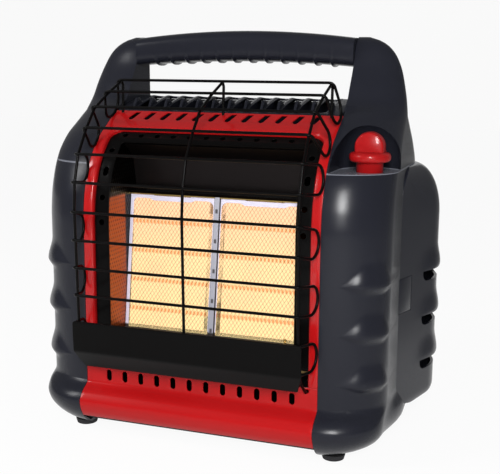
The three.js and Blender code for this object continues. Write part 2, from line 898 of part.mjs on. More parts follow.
function makeLowerPanel() {
  const { lowerEdge, sheet } = lowerPanel;
  const path = frontPath(lowerEdge, bezel.lowerEdge - fit);
  const skin = acrossWidth(sheetAlong(path, 0, sheet), -body.coreHalfWidth, body.coreHalfWidth);
  const front = frontAt(lowerEdge);
  const flange = block(
    [-body.coreHalfWidth, body.coreHalfWidth],
    [front + fit, front + lowerPanel.flangeDepth],
    [lowerEdge, lowerEdge + sheet],
  );
  const face = frontAt(lowerPanel.slotCentre);
  const slotShape = stadium(lowerPanel.slotWidth / 2, lowerPanel.slotHeight / 2);
  const slotCuts = slotPlaces.map((x) => {
    const moved = outline(slotShape.getPoints(2).map((p) => [p.x + x, p.y + lowerPanel.slotCentre]));
    return throughDepth(moved, face - overrun, face + overrun);
  });
  const hooks = [-wire.uprightX, wire.uprightX].map((x) =>
    rod([x, face - overrun, lowerPanel.hookHeight], [x, face + overrun, lowerPanel.hookHeight], lowerPanel.hookHoleRadius));
  place('lower_panel', cut(skin.add(flange), [...slotCuts, ...hooks]), finishes.red);
}

function makeInnerFrame() {
  const half = bezel.halfOpening - fit;
  const path = frontPath(frame.lowerEdge, bezel.openingTop - fit);
  const skin = acrossWidth(sheetAlong(path, frame.setback, frame.setback + frame.sheet), -half, half);
  const hole = outline([
    [-frame.halfOpening, 0], [frame.halfOpening, 0],
    [frame.halfOpening, frame.openingTop], [-frame.halfOpening, frame.openingTop],
  ]);
  const through = (x, z, radius) => rod([x, frontAt(z) - overrun, z], [x, body.armReach, z], radius, 8);
  const sideX = (half + frame.halfOpening) / 2;
  const sideHoles = [-sideX, sideX].flatMap((x) => [
    ...frame.sideHoleHeights.map((z) => through(x, z, frame.holeRadius)),
    throughDepth(outline(stadium(frame.holeRadius, frame.ovalHalfLength).getPoints(2)
      .map((p) => [p.x + x, p.y + frame.ovalHeight])), 0, body.armReach),
  ]);
  const topHoles = slotPlaces.map((x) => through(x, frame.holeHeight, frame.holeRadius));
  const frameSolid = cut(skin, [throughDepth(hole, -overrun, body.armReach), ...sideHoles, ...topHoles]);
  place('inner_frame', frameSolid, finishes.blackSteel);
}

// Steel chassis round the burner chamber

function makeChassis() {
  const skinBack = bezel.sheet + fit;
  const foot = lowerPanel.lowerEdge + lowerPanel.sheet + fit + skinBack;
  const path = inset(frontPath(foot, bezel.backHeight - grille.sheet), skinBack);
  const [topDepth, topHeight] = path.at(-1);
  const footHeight = path[0][1];
  const side = outline([...path, [Math.max(chassis.shieldDepth - fit, topDepth), topHeight],
    [chassis.shieldDepth - fit, footHeight]]);
  for (const [sign, name] of [[1, 'right'], [-1, 'left']]) {
    const inner = chassis.halfWidth - sheetSteel;
    const panel = sign > 0 ? acrossWidth(side, inner, chassis.halfWidth) : acrossWidth(side, -chassis.halfWidth, -inner);
    const holes = sign > 0 ? chassisHoles() : [];
    place(`${name}_side_panel`, cut(panel, holes), finishes.steel);
  }
}

// Where the two burner tubes and the pilot tube leave the chamber for the valve
const tubeHeights = [leaned(burner.mixerInset, -burner.rightMixerDrop), leaned(burner.mixerInset, -burner.leftMixerDrop)];

function chassisHoles() {
  const half = body.coreHalfWidth;
  const holes = tubeHeights.map(([y, z]) => rod([0, y, z], [half, y, z], valve.tubeRadius + fit * 2));
  const { depth, tubeHeight } = pilot;
  return [...holes, rod([0, depth, tubeHeight], [half, depth, tubeHeight], pilot.tubeRadius + fit * 2)];
}

// The gas supply tube passes through the wall between the valve room and the bay
function tubeHole() {
  const front = body.seamDepth - wallPlastic - overrun;
  const back = body.seamDepth + overrun;
  return rod([supply.x, front, supply.height], [supply.x, back, supply.height], supply.radius + fit * 2);
}

function latchPocket(side) {
  const near = body.halfWidth - latch.thickness - latch.swingRoom;
  const x = side > 0 ? [near, body.halfWidth + overrun] : [-body.halfWidth - overrun, -near];
  const back = body.seamDepth + fit;
  return block(x, [back - latch.nose - latch.swingRoom, back], around(latch.height, latch.halfHeight + fit));
}

// A point given along the leaning tiles (depth behind their face, height up it) in upright terms
function leaned(depth, height) {
  const [s, c] = [Math.sin(burner.lean), Math.cos(burner.lean)];
  return [burner.footDepth + depth * c + height * s, burner.footHeight - depth * s + height * c];
}

function makeBasePan() {
  const half = podInner - fit;
  const front = frontAt(lowerPanel.lowerEdge) + lowerPanel.flangeDepth - sheetSteel;
  const floorTop = chassis.floor + sheetSteel;
  const wide = block(span(half), [front, chassis.floorNeck], [chassis.floor, floorTop]);
  const narrow = block(span(rear.halfWaist), [front, rear.wallDepth - rear.wall], [chassis.floor, floorTop]);
  const frontRim = block(span(half), [front, front + sheetSteel], [chassis.floor, lowerPanel.lowerEdge - fit]);
  const rimX = chassis.halfWidth + fit;
  const rim = block([rimX, rimX + sheetSteel], [chassis.rimFront, chassis.rimBack], [chassis.floor, chassis.rimTop]);
  place('base_pan', join([wide, narrow, frontRim, rim, mirrorX(rim)]), finishes.blackSteel);
}

function placeBoth(name, shape, material) {
  place(`right_${name}`, shape, material);
  place(`left_${name}`, mirrorX(shape), material);
}

const shieldBack = chassis.shieldDepth + sheetSteel;

function makeChamber() {
  const behindFrame = frame.setback + frame.sheet + fit;
  const front = inset(frontPath(chassis.reflectorFoot, chassis.reflectorTop), behindFrame);
  const back = chassis.shieldDepth - fit;
  const side = outline([...front, [back, front.at(-1)[1]], [back, front[0][1]]]);
  const reflector = acrossWidth(side, frame.halfOpening, frame.halfOpening + sheetSteel);
  placeBoth('reflector', reflector, finishes.polished);
  const half = frame.halfOpening - fit;
  place('reflector_hood', acrossWidth(sheetAlong(hood.path, 0, hood.sheet), -half, half), finishes.polished);
  const shield = block(span(chassis.halfWidth), [chassis.shieldDepth, shieldBack], [chassis.shieldFoot, chassis.shieldTop]);
  place('heat_shield', shield, finishes.steel);
}

// Burners, in their own frame: depth behind the tile face, height up it

const leaning = new THREE.Group();
leaning.rotation.x = -burner.lean;
leaning.position.set(0, burner.footDepth, burner.footHeight);
heater.add(leaning);

const panX = [burner.halfGap, frame.halfOpening - fit];
const panZ = [-burner.rimBelow, burner.height - burner.rimBelow];
const shrunk = ([low, high], margin) => [low + margin, high - margin];

// Outside and bore of a tube, the bore running on past both ends
function pipe(points, radius, wall) {
  const ends = [[points[0], points[1]], [points.at(-1), points.at(-2)]].map(([end, next]) => {
    const [tip, inside] = [new THREE.Vector3(...end), new THREE.Vector3(...next)];
    return tip.clone().add(tip.clone().sub(inside).setLength(overrun)).toArray();
  });
  const sides = 10;
  return [tube(points, radius, sides), tube([ends[0], ...points.slice(1, -1), ends[1]], radius - wall, sides)];
}

function mixerPath(side, drop) {
  const [x, y, bend] = [side * burner.mixerX, burner.mixerInset, burner.mixerBend];
  return [[x, y, panZ[0] + sheetSteel / 2], [x, y, bend - drop], [x + bend, y, -drop], [burner.mixerMouth, y, -drop]];
}

function makeBurners() {
  const box = block(panX, [0, burner.depth], panZ);
  const room = block(shrunk(panX, sheetSteel), [sheetSteel, burner.depth - sheetSteel], shrunk(panZ, sheetSteel));
  const [low, high] = shrunk(panZ, burner.border);
  const view = block(shrunk(panX, burner.border), [-overrun, burner.border], [low, high]);
  const middle = (panX[0] + panX[1]) / 2;
  const notch = block(around(middle, burner.notchWidth / 2), [-overrun, sheetSteel + fit], [low, high + burner.notchDepth]);
  const pan = cut(box, [room, view, notch]);
  const [rightOutside, rightBore] = pipe(mixerPath(1, burner.rightMixerDrop), burner.mixerRadius, burner.mixerWall);
  const [leftOutside, leftBore] = pipe(mixerPath(-1, burner.leftMixerDrop), burner.mixerRadius, burner.mixerWall);
  place('right_burner', pan.add(rightOutside.subtract(room)).subtract(rightBore), finishes.steel, leaning);
  place('left_burner', mirrorX(pan).add(leftOutside.subtract(mirrorX(room))).subtract(leftBore), finishes.steel, leaning);
  const tileFront = sheetSteel + fit;
  const tileX = shrunk(panX, sheetSteel + fit);
  const tile = block(tileX, [tileFront, tileFront + burner.tileThickness], shrunk(panZ, sheetSteel + fit));
  place('right_tile', tile, finishes.tile, leaning);
  place('left_tile', mirrorX(tile), finishes.tile, leaning);
  const ring = block(panX, [-fit - screen.thickness, -fit], panZ);
  const clear = block(shrunk(panX, screen.border), [-overrun, 0], shrunk(panZ, screen.border));
  const [from, to] = shrunk(panX, screen.border / 2);
  const bars = Array.from({ length: screen.bars }, (_, i) => {
    const z = panZ[0] + (burner.height * (i + 1)) / (screen.bars + 1);
    const y = -fit - screen.thickness / 2;
    return rod([from, y, z], [to, y, z], screen.barRadius, 6);
  });
  const grid = join([ring.subtract(clear), ...bars]);
  place('right_screen', grid, finishes.steel, leaning);
  place('left_screen', mirrorX(grid), finishes.steel, leaning);
}

function makeBurnerTrim() {
  const strip = block(span(burner.halfGap - fit), [0, sheetSteel], panZ);
  place('centre_strip', strip, finishes.steel, leaning);
  const half = span(frame.halfOpening - fit);
  const lead = -fit - screen.thickness - fit - sheetSteel;
  const low = panZ[1] + fit;
  const leg = block(half, [lead, trim.barLeg], [low, low + sheetSteel]);
  const lip = block(half, [lead, lead + sheetSteel], [low - trim.barDrop, low + trim.barRise]);
  place('tile_clamp_bar', leg.add(lip), finishes.brass, leaning);
}

// Wire guard

const guardHeight = wire.highest - wire.lowest;
const guardZ = (share) => wire.lowest + share * guardHeight;
const crossWires = crossWireShares.map(([z, y]) => [y * wire.topReach, guardZ(z)]);

// Depth at which a wire just clears the red front
function restingDepth(z) {
  const lean = (frontAt(z + overrun) - frontAt(z - overrun)) / (overrun + overrun);
  return frontAt(z) - (wire.radius + fit) * Math.hypot(1, lean);
}

function guardLoop(i) {
  const [lower, upper] = [crossWires[i * 2], crossWires[i * 2 + 1]];
  const tipZ = guardZ(loopTipShares[i]);
  const tipY = restingDepth(tipZ);
  const toward = ([y, z], share) => [y + (tipY - y) * share, z + (tipZ - z) * share];
  const [half, wide] = [wire.halfSpan, wire.loopHalfWidth];
  const reach = (corner, side) => {
    const run = Math.hypot(tipY - corner[0], tipZ - corner[1]);
    const near = toward(corner, wire.loopRound / run);
    return [[side * half, ...corner], [side * (half + wire.loopRound), ...near]];
  };
  const tip = (side) => [side * wide, tipY, tipZ];
  const points = [
    ...reach(lower, 1), tip(1), ...reach(upper, 1).reverse(),
    ...reach(upper, -1), tip(-1), ...reach(lower, -1).reverse(),
  ];
  return tube(points, wire.radius, wire.sides, true);
}

function makeGuard() {
  const behind = wire.radius * 2 - wire.weldOverlap;
  const stem = inset(crossWires, behind);
  const leg = [frontAt(wire.legEnd - fit) - wire.radius, wire.legEnd];
  const over = [[stem.at(-1)[0] + wire.radius, wire.highest + wire.radius], [leg[0] + wire.radius, wire.legTop], leg];
  const uprights = [-wire.uprightX, 0, wire.uprightX].map((x) => {
    const line = x ? [...wire.hook, ...stem, ...over] : [...stem, ...over];
    return tube(line.map(([y, z]) => [x, y, z]), wire.radius);
  });
  const loops = loopTipShares.map((_, i) => guardLoop(i));
  place('wire_guard', join([...loops, ...uprights]), finishes.blackSteel);
}

function makePlate() {
  const clear = wire.radius + fit;
  const [wireY, wireZ] = crossWires[0];
  const [nextY, nextZ] = crossWires[1];
  const slope = (nextY - wireY) / (nextZ - wireZ);
  const faceAt = (z) => wireY - clear + slope * (z - wireZ);
  const path = [[plate.lipDepth, plate.lipHeight], [faceAt(plate.crease), plate.crease], [faceAt(plate.top), plate.top]];
  const sheet = acrossWidth(sheetAlong(path, -plate.thickness, 0), -plate.halfWidth, plate.halfWidth);
  const taper = outline([
    [-plate.halfWidth, plate.top + overrun], [-plate.halfWidth, plate.crease], [-plate.lipHalfWidth, plate.lipHeight - overrun],
    [plate.lipHalfWidth, plate.lipHeight - overrun], [plate.halfWidth, plate.crease], [plate.halfWidth, plate.top + overrun],
  ]);
  const face = throughDepth(taper, -plate.lipDepth, plate.lipDepth + overrun);
  place('guard_plate', sheet.intersect(face), finishes.blackSteel);
}

// Top grille and handle

const deckFront = [frontAt(bezel.backHeight) + fit * 2, bezel.backHeight + fit];
const deckPath = [deckFront, ...deckShares.map(([y, z]) => [y * deck.backDepth, z * deck.height])];
const betweenArms = body.deckHalfWidth - fit;

function makeTopGrille() {
  const sheet = acrossWidth(sheetAlong(deckPath, 0, grille.sheet), -betweenArms, betweenArms);
  const ribShape = sheetAlong(deckPath, -grille.ribRise, grille.sheet / 2);
  const ribCount = slots.count + 1;
  const ribs = Array.from({ length: ribCount }, (_, i) => {
    const [from, to] = around((i - (ribCount - 1) / 2) * slots.pitch, grille.ribWidth / 2);
    return acrossWidth(ribShape, from, to);
  });
  const middle = (grille.slotFront + grille.slotBack) / 2;
  const shape = stadium(grille.slotWidth / 2, (grille.slotBack - grille.slotFront) / 2);
  const holes = slotPlaces.map((x) => {
    const moved = outline(shape.getPoints(2).map((p) => [p.x + x, p.y + middle]));
    return upHeight(moved, bezel.backHeight - bezel.lipDepth, body.height);
  });
  place('top_grille', cut(join([sheet, ...ribs]), holes), finishes.housing);
}

function gripSection(x) {
  const rise = 1 - (x / betweenArms) ** 2;
  const top = grip.shoulder + (grip.crown - grip.shoulder) * rise;
  const bottom = grip.endUnderside + (grip.middleUnderside - grip.endUnderside) * rise;
  const [middle, half] = [(top + bottom) / 2, (top - bottom) / 2];
  const steps = 14;
  return Array.from({ length: steps }, (_, i) => {
    const angle = (i / steps) * Math.PI * 2;
    const [c, s] = [Math.cos(angle), Math.sin(angle)];
    const square = (value) => Math.sign(value) * Math.sqrt(Math.abs(value)) ** grip.squareness;
    return [grip.depth + grip.halfDepth * square(c), middle + half * square(s), x];
  });
}

function makeGrip() {
  const stations = 6;
  const places = Array.from({ length: stations + 1 }, (_, i) => (i / stations) * betweenArms * 2 - betweenArms);
  const across = new THREE.Matrix4().makeBasis(axisY, axisZ, axisX);
  const bar = loft(places.map(gripSection), across);
  const ribs = slotPlaces.map((x) => {
    const section = gripSection(x);
    const bottom = Math.min(...section.map(([, z]) => z));
    return block(
      around(x, grip.ribWidth / 2),
      around(grip.depth, grip.halfDepth * grip.ribReachShare),
      [bottom - grip.ribDepth, bottom + overrun],
    );
  });
  place('handle_grip', join([bar, ...ribs]), finishes.housing);
}

// Rear cover: narrow between the cylinder bays, wide above them

const coverFoot = chassis.floor + sheetSteel + fit;
const openDepth = shieldBack + fit;
const rearAt = curveThrough(rearShares, body.height, rear.wallDepth);
const coverTop = deck.height - grille.sheet - fit;
const wingFoot = door.top + fit;

function rearPath(low) {
  const stations = rearShares.map(([share]) => share * body.height);
  const inside = stations.filter((z) => z > low + fit && z < coverTop - fit);
  return [low, ...inside, coverTop].map((z) => [rearAt(z), z]);
}

function coverShell() {
  const underDeck = inset(deckPath, grille.sheet + fit);
  const outer = outline([[deckFront[0], coverFoot], ...rearPath(coverFoot), ...underDeck.reverse()]);
  const innerBack = inset(rearPath(coverFoot + rear.wall), -rear.wall);
  const lastDepth = innerBack.at(-1)[0];
  const inner = outline([
    [deckFront[0], coverFoot + rear.wall], ...innerBack, [lastDepth, body.height], [deckFront[0], body.height],
  ]);
  const across = (shape, half) => acrossWidth(shape, -half, half);
  const above = (z) => block(span(body.halfWidth), [0, body.depth], [z, body.height]);
  const behind = block(span(body.halfWidth), [openDepth, body.depth], [0, body.height]);
  const solidCover = across(outer, rear.halfWaist).add(across(outer, betweenArms).intersect(above(wingFoot)));
  const room = across(inner, rear.halfWaist - rear.wall)
    .add(across(inner, betweenArms - rear.wall).intersect(above(wingFoot + rear.wall)));
  return [solidCover.subtract(room).intersect(behind), room];
}

const bayOuter = span(battery.halfWidth);
const bayInner = span(battery.halfWidth - battery.wall * 2);
const bayZ = [battery.floor, battery.floor + battery.height];
const bayMouth = shrunk(bayZ, battery.wall * 2);
const coverX = span(battery.halfWidth - battery.wall * 2 + battery.coverOverlap);
const coverZ = shrunk(bayMouth, -battery.coverOverlap);
const coverY = [rear.wallDepth + fit, rear.wallDepth + fit + battery.coverThickness];

// Channels the battery cover slides in, with a stop under it
function coverRails() {
  const near = coverX[1] + fit;
  const low = coverZ[0] - fit;
  const high = coverZ[1] + battery.slide;
  const lipFront = coverY[1] + fit;
  const post = block([near, near + battery.railWidth], [rear.wallDepth - fit, lipFront + battery.lipThickness], [low, high]);
  const lip = block([near - battery.railLip, near + fit], [lipFront, lipFront + battery.lipThickness], [low, high]);
  const rail = post.add(lip);
  const stop = block(span(near + battery.railWidth), [rear.wallDepth - fit, coverY[1]], [low - battery.railWidth, low]);
  return [rail, mirrorX(rail), stop];
}

function hingeCarriers() {
  const levels = [
    [hinge.foot + hinge.knuckle + fit, hinge.foot + hinge.knuckle + fit + hinge.carrier],
    [hinge.top - hinge.knuckle - fit - hinge.carrier, hinge.top - hinge.knuckle - fit],
  ];
  const carriers = levels.map(([low, high]) => {
    const barrel = rod([hinge.x, hinge.depth, low], [hinge.x, hinge.depth, high], hinge.radius);
    const arm = block([rear.halfWaist - fit, hinge.x], around(hinge.depth, hinge.radius * Math.SQRT1_2), [low, high]);
    return barrel.add(arm);
  });
  const bore = rod([hinge.x, hinge.depth, hinge.foot], [hinge.x, hinge.depth, hinge.top], hinge.pinRadius + fit);
  return join(carriers).subtract(bore);
}

function rockerCheeks() {
  const inner = rocker.halfWidth + fit;
  const outer = inner + rocker.cheek;
  const depths = [rocker.front, rear.wallDepth - fit];
  const cheeks = [[rocker.x - outer, rocker.x - inner], [rocker.x + inner, rocker.x + outer]].map((width) =>
    block(width, depths, around(fan.height, rocker.waistHalf)));
  const [from, to] = around(rocker.x, outer + fit);
  const pivot = rod([from, rocker.pivotDepth, fan.height], [to, rocker.pivotDepth, fan.height], rocker.pivotRadius + fit);
  return cheeks.map((cheek) => cheek.subtract(pivot));
}

function makeRearCover() {
  const [shell, room] = coverShell();
  const behind = body.depth + overrun;
  const ringDisc = (radius) => rod([0, fan.back - fit, fan.height], [0, rear.wallDepth + rear.ringRise, fan.height], radius, 24);
  const ring = ringDisc(rear.ringRadius + rear.ringWidth).subtract(ringDisc(rear.ringRadius)).subtract(room);
  const disc = rod([0, fan.back, fan.height], [0, behind, fan.height], rear.louvreRadius, 20);
  const louvres = Array.from({ length: rear.louvres }, (_, i) => {
    const z = fan.height + (i - (rear.louvres - 1) / 2) * rear.louvrePitch;
    return disc.intersect(block(span(rear.ringRadius), [fan.back, behind], around(z, rear.louvreHeight / 2)));
  });
  const reach = fan.frameHalf - fan.postInset;
  const posts = [-reach, reach].flatMap((x) => [-reach, reach].map((rise) => {
    const z = fan.height + rise;
    return rod([x, fan.back + fit, z], [x, rearAt(z) - rear.wall / 2, z], fan.postRadius, 6);
  }));
  const mouth = block(bayInner, [rear.wallDepth - overrun, behind], bayMouth);
  const rockerHole = block(around(rocker.x, rocker.halfWidth + fit), [rear.wallDepth - overrun, behind],
    around(fan.height, rocker.halfHeight + rocker.sweep));
  const socketHole = rod([socket.x, rear.wallDepth - overrun, fan.height], [socket.x, behind, fan.height], socket.radius + fit, 12);
  const supplySlot = block(span(body.halfWidth), [openDepth - overrun, regulator.pivotDepth + supply.radius + fit],
    around(supply.runHeight, supply.radius + fit));
  const opened = cut(shell.add(ring), [...louvres, mouth, rockerHole, socketHole, supplySlot]);
  const carriers = hingeCarriers();
  const added = [...posts, ...coverRails(), carriers, mirrorX(carriers), ...rockerCheeks()];
  place('rear_cover', join([opened, ...added]), finishes.housing);
}

// Fan behind the burners

const alongDepth = (from, to, radius, sides = 16) => rod([0, from, fan.height], [0, to, fan.height], radius, sides);
const armFront = fan.back - fan.armThickness;
const motorBack = armFront - fit;
const motorFront = motorBack - fan.motorLength;

function makeFan() {
  const front = fan.back - fan.frameDepth;
  const frameBlock = block(span(fan.frameHalf), [front, fan.back], around(fan.height, fan.frameHalf));
  const bored = frameBlock.subtract(alongDepth(front - overrun, fan.back + overrun, fan.bore, 24));
  const plateDisc = alongDepth(armFront, fan.back, fan.hubRadius);
  const spider = Array.from({ length: fan.arms }, (_, i) => {
    const angle = (i / fan.arms) * Math.PI * 2;
    const geometry = new THREE.BoxGeometry(fan.bore, fan.armThickness, fan.armWidth);
    geometry.translate(fan.bore / 2 + fan.postInset, 0, 0);
    geometry.rotateY(angle);
    geometry.translate(0, fan.back - fan.armThickness / 2, fan.height);
    return solid(geometry);
  });
  place('fan_shroud', join([bored, plateDisc, ...spider]), finishes.darkPlastic);

  const bearing = alongDepth(motorFront - overrun, motorBack - fan.armThickness, fan.shaftRadius + fit, 12);
  place('fan_motor', alongDepth(motorFront, motorBack, fan.motorRadius).subtract(bearing), finishes.blackSteel);

  const hubFront = front + fan.hubInset;
  const cup = alongDepth(hubFront, motorBack - fit, fan.hubRadius)
    .subtract(alongDepth(hubFront + fan.hubWall, fan.back, fan.hubRadius - fan.hubWall));
  const shaft = alongDepth(hubFront + fan.hubWall / 2, motorBack - fan.armThickness - fit, fan.shaftRadius, 12);
  const spanLength = fan.bladeRadius - fan.hubRadius + fan.hubWall;
  const ringRoom = alongDepth(front, fan.back, fan.bladeRadius, 16)
    .subtract(alongDepth(front - overrun, fan.back + overrun, fan.hubRadius - fan.hubWall / 2));
  const middle = (hubFront + motorBack) / 2;
  const blades = Array.from({ length: fan.blades }, (_, i) => {
    const geometry = new THREE.BoxGeometry(spanLength + overrun, fan.bladeThickness, fan.bladeChord);
    geometry.rotateX(fan.bladeTwist);
    geometry.translate(fan.hubRadius + spanLength / 2, 0, 0);
    geometry.rotateY((i / fan.blades) * Math.PI * 2);
    geometry.translate(0, middle, fan.height);
    return solid(geometry).intersect(ringRoom);
  });
  place('fan_rotor', join([cup, shaft, ...blades]), finishes.darkPlastic);
}

// Air duct from the fan down to the slots in the lower panel

function ductPlan(margin, frontOver, backOver) {
  const front = lowerPanelBack - frontOver;
  const back = ductBack - margin + backOver;
  const [half, waist, throat] = [duct.halfWidth, duct.waistHalf, duct.throatHalf].map((reach) => reach - margin);
  const right = [[half, front], [half, duct.neckDepth], [waist, duct.waistDepth], [waist, duct.taperDepth], [throat, back]];
  return outline([...right, ...right.map(([x, y]) => [-x, y]).reverse()]);
}

const batteryBack = rear.wallDepth - rear.wall - fit;
const ductBack = batteryBack - battery.depth - fit;
const lowerPanelBack = frontAt(lowerPanel.slotCentre) + lowerPanel.sheet + fit;

function makeDuct() {
  const fanFront = fan.back - fan.frameDepth;
  const throatFront = ductBack - duct.throatDepth;
  const ceiling = fan.height + duct.mouthHalf;
  const flat = upHeight(ductPlan(0, 0, 0), duct.floor, duct.ceiling);
  const flatRoom = upHeight(ductPlan(duct.sheet, overrun, 0), duct.floor + duct.sheet, duct.ceiling - duct.sheet);
  const throat = block(span(duct.throatHalf), [throatFront, ductBack], [duct.floor, ceiling]);
  const throatRoom = block(
    shrunk(span(duct.throatHalf), duct.sheet),
    shrunk([throatFront, ductBack], duct.sheet),
    shrunk([duct.floor, ceiling], duct.sheet),
  );
  const mouthZ = around(fan.height, duct.mouthHalf);
  const mouth = block(span(duct.mouthHalf), [ductBack - duct.sheet, fanFront - fit], mouthZ);
  const mouthRoom = block(
    shrunk(span(duct.mouthHalf), duct.sheet),
    [ductBack - duct.sheet * 2, fanFront + fit],
    shrunk(mouthZ, duct.sheet),
  );
  place('air_duct', cut(join([flat, throat, mouth]), [flatRoom, throatRoom, mouthRoom]), finishes.steel);
}

// Battery bay, fan switch and power socket

function makeBatteryBay() {
  const depths = [batteryBack - battery.depth, batteryBack];
  const box = block(bayOuter, depths, bayZ);
  const room = block(shrunk(bayOuter, battery.wall), [depths[0] + battery.wall, batteryBack + overrun], shrunk(bayZ, battery.wall));
  place('battery_box', box.subtract(room), finishes.darkPlastic);
  const lid = block(coverX, coverY, coverZ);
  const ridgeTop = coverZ[1] - battery.ridgeHeight;
  const ridge = block(span(battery.ridgeHalf), [coverY[0], coverY[1] + battery.ridgeRise], [ridgeTop - battery.ridgeHeight, ridgeTop]);
  place('battery_cover', lid.add(ridge), finishes.housing);
}

function makeSwitchAndSocket() {
  const { x, front, middle, back, halfHeight, waistHalf } = rocker;
  const z = fan.height;
  const side = outline([
    [front, z - waistHalf / 2], [front, z + waistHalf / 2], [middle - rocker.cheek, z + halfHeight], [back, z + halfHeight],
    [middle, z], [back, z - halfHeight], [middle - rocker.cheek, z - halfHeight],
  ]);
  const button = acrossWidth(side, ...around(x, rocker.halfWidth));
  const [from, to] = around(x, rocker.halfWidth + fit + rocker.cheek);
  const pivot = rod([from, rocker.pivotDepth, z], [to, rocker.pivotDepth, z], rocker.pivotRadius);
  place('fan_switch', button.add(pivot), finishes.redPlastic);

  const at = (y) => [socket.x, y, z];
  const flangeFoot = rear.wallDepth + fit;
  const outside = flangeFoot + socket.flangeRise;
  const body1 = rod(at(outside - socket.depth), at(outside), socket.radius, 12);
  const flange = rod(at(flangeFoot), at(outside), socket.flange, 12);
  const bore = rod(at(outside - socket.boreDepth), at(outside + overrun), socket.bore, 8);
  const pin = rod(at(outside - socket.boreDepth - fit), at(outside - socket.flangeRise), socket.pinRadius, 5);
  place('power_socket', body1.add(flange).subtract(bore).add(pin), finishes.darkPlastic);
}

// Gas valve under the knob

const onKnob = (z, dx = 0, dy = 0) => [knob.x + dx, knob.depth + dy, z];
const collarTop = knob.neckFoot - fit;
const collarFoot = collarTop - valve.collarThickness;

function makeValve() {
  const depths = around(knob.depth, valve.halfDepth);
  const block1 = block(around(knob.x, valve.halfWidth), depths, [valve.bottom, valve.top]);
  const bonnet = rod(onKnob(valve.top - fit), onKnob(valve.bonnetTop), valve.bonnetRadius, 14);
  const standX = chassis.halfWidth + fit;
  const bracketDepths = around(knob.depth, valve.bracketHalf);
  const arm = block([standX, knob.x - valve.halfWidth + fit], bracketDepths, around(valve.bracketHeight, valve.bracketThickness / 2));
  const pad = block([standX, standX + valve.bracketThickness], bracketDepths, [valve.bottom, valve.top]);
  const bore = rod(onKnob(valve.boreFoot), onKnob(valve.bonnetTop + overrun), knob.bore, 10);
  place('gas_valve', join([block1, bonnet, arm, pad]).subtract(bore), finishes.brass);
  place('valve_stem', rod(onKnob(valve.stemFoot), onKnob(valve.stemTop), valve.stemRadius, 10), finishes.steel);

  const disc = rod(onKnob(collarFoot), onKnob(collarTop), valve.collarRadius, 14);
  const igniterDepth = knob.depth + valve.halfDepth + fit + igniter.radius;
  const finger = block(around(igniter.x, igniter.fingerWidth / 2), [knob.depth, igniterDepth + igniter.fingerReach], [collarFoot, collarTop]);
  const hole = rod(onKnob(collarFoot - overrun), onKnob(collarTop + overrun), knob.bore, 10);
  place('push_collar', disc.add(finger).subtract(hole), finishes.steel);

  const neck = rod(onKnob(knob.neckFoot), onKnob(knob.neckTop), knob.neckRadius, 16);
  const flange = rod(onKnob(knob.neckTop - fit), onKnob(knob.flangeTop), knob.flangeRadius, 24);
  const fin = new THREE.Shape();
  const springing = knob.top - knob.finHalfWidth;
  fin.moveTo(knob.x - knob.finHalfWidth, knob.flangeTop - fit);
  fin.lineTo(knob.x + knob.finHalfWidth, knob.flangeTop - fit);
  fin.absarc(knob.x, springing, knob.finHalfWidth, 0, Math.PI);
  const grip1 = throughDepth(fin, ...around(knob.depth, knob.finHalfDepth));
  const stemHole = rod(onKnob(knob.neckFoot - overrun), onKnob(valve.stemTop + fit), knob.bore, 10);
  place('control_knob', join([neck, flange, grip1]).subtract(stemHole), finishes.redPlastic);

  const axis = (z) => [igniter.x, igniterDepth, z];
  const barrel = rod(axis(igniter.bottom), axis(igniter.top), igniter.radius, 12);
  const button = rod(axis(igniter.top - fit), axis(collarFoot - knob.travel - fit), igniter.buttonRadius, 8);
  place('piezo_igniter', barrel.add(button), finishes.ceramic);
}

// Two jets feeding the burner mixers, with their tubes up to the valve
function makeManifold() {
  const wallFace = chassis.halfWidth - sheetSteel - fit;
  const [[y1, z1], [y2, z2]] = tubeHeights;
  const near = wallFace - jets.length;
  const depths = [Math.min(y1, y2) - jets.margin, Math.max(y1, y2) + jets.margin];
  const brass = block([near, wallFace], depths, [z2 - jets.margin, z1 + jets.margin]);
  const lines = tubeHeights.flatMap(([y, z], i) => {
    const x = jets.tubeX[i];
    const tip = rod([near - jets.tipLength, y, z], [near + fit, y, z], jets.tipRadius);
    const line = [[wallFace - fit, y, z], [x - jets.bend, y, z], [x, y, z + jets.bend], [x, y, valve.bottom - fit]];
    return [tip, tube(line, valve.tubeRadius, 6)];
  });
  place('burner_manifold', join([brass, ...lines]), finishes.brass);
}

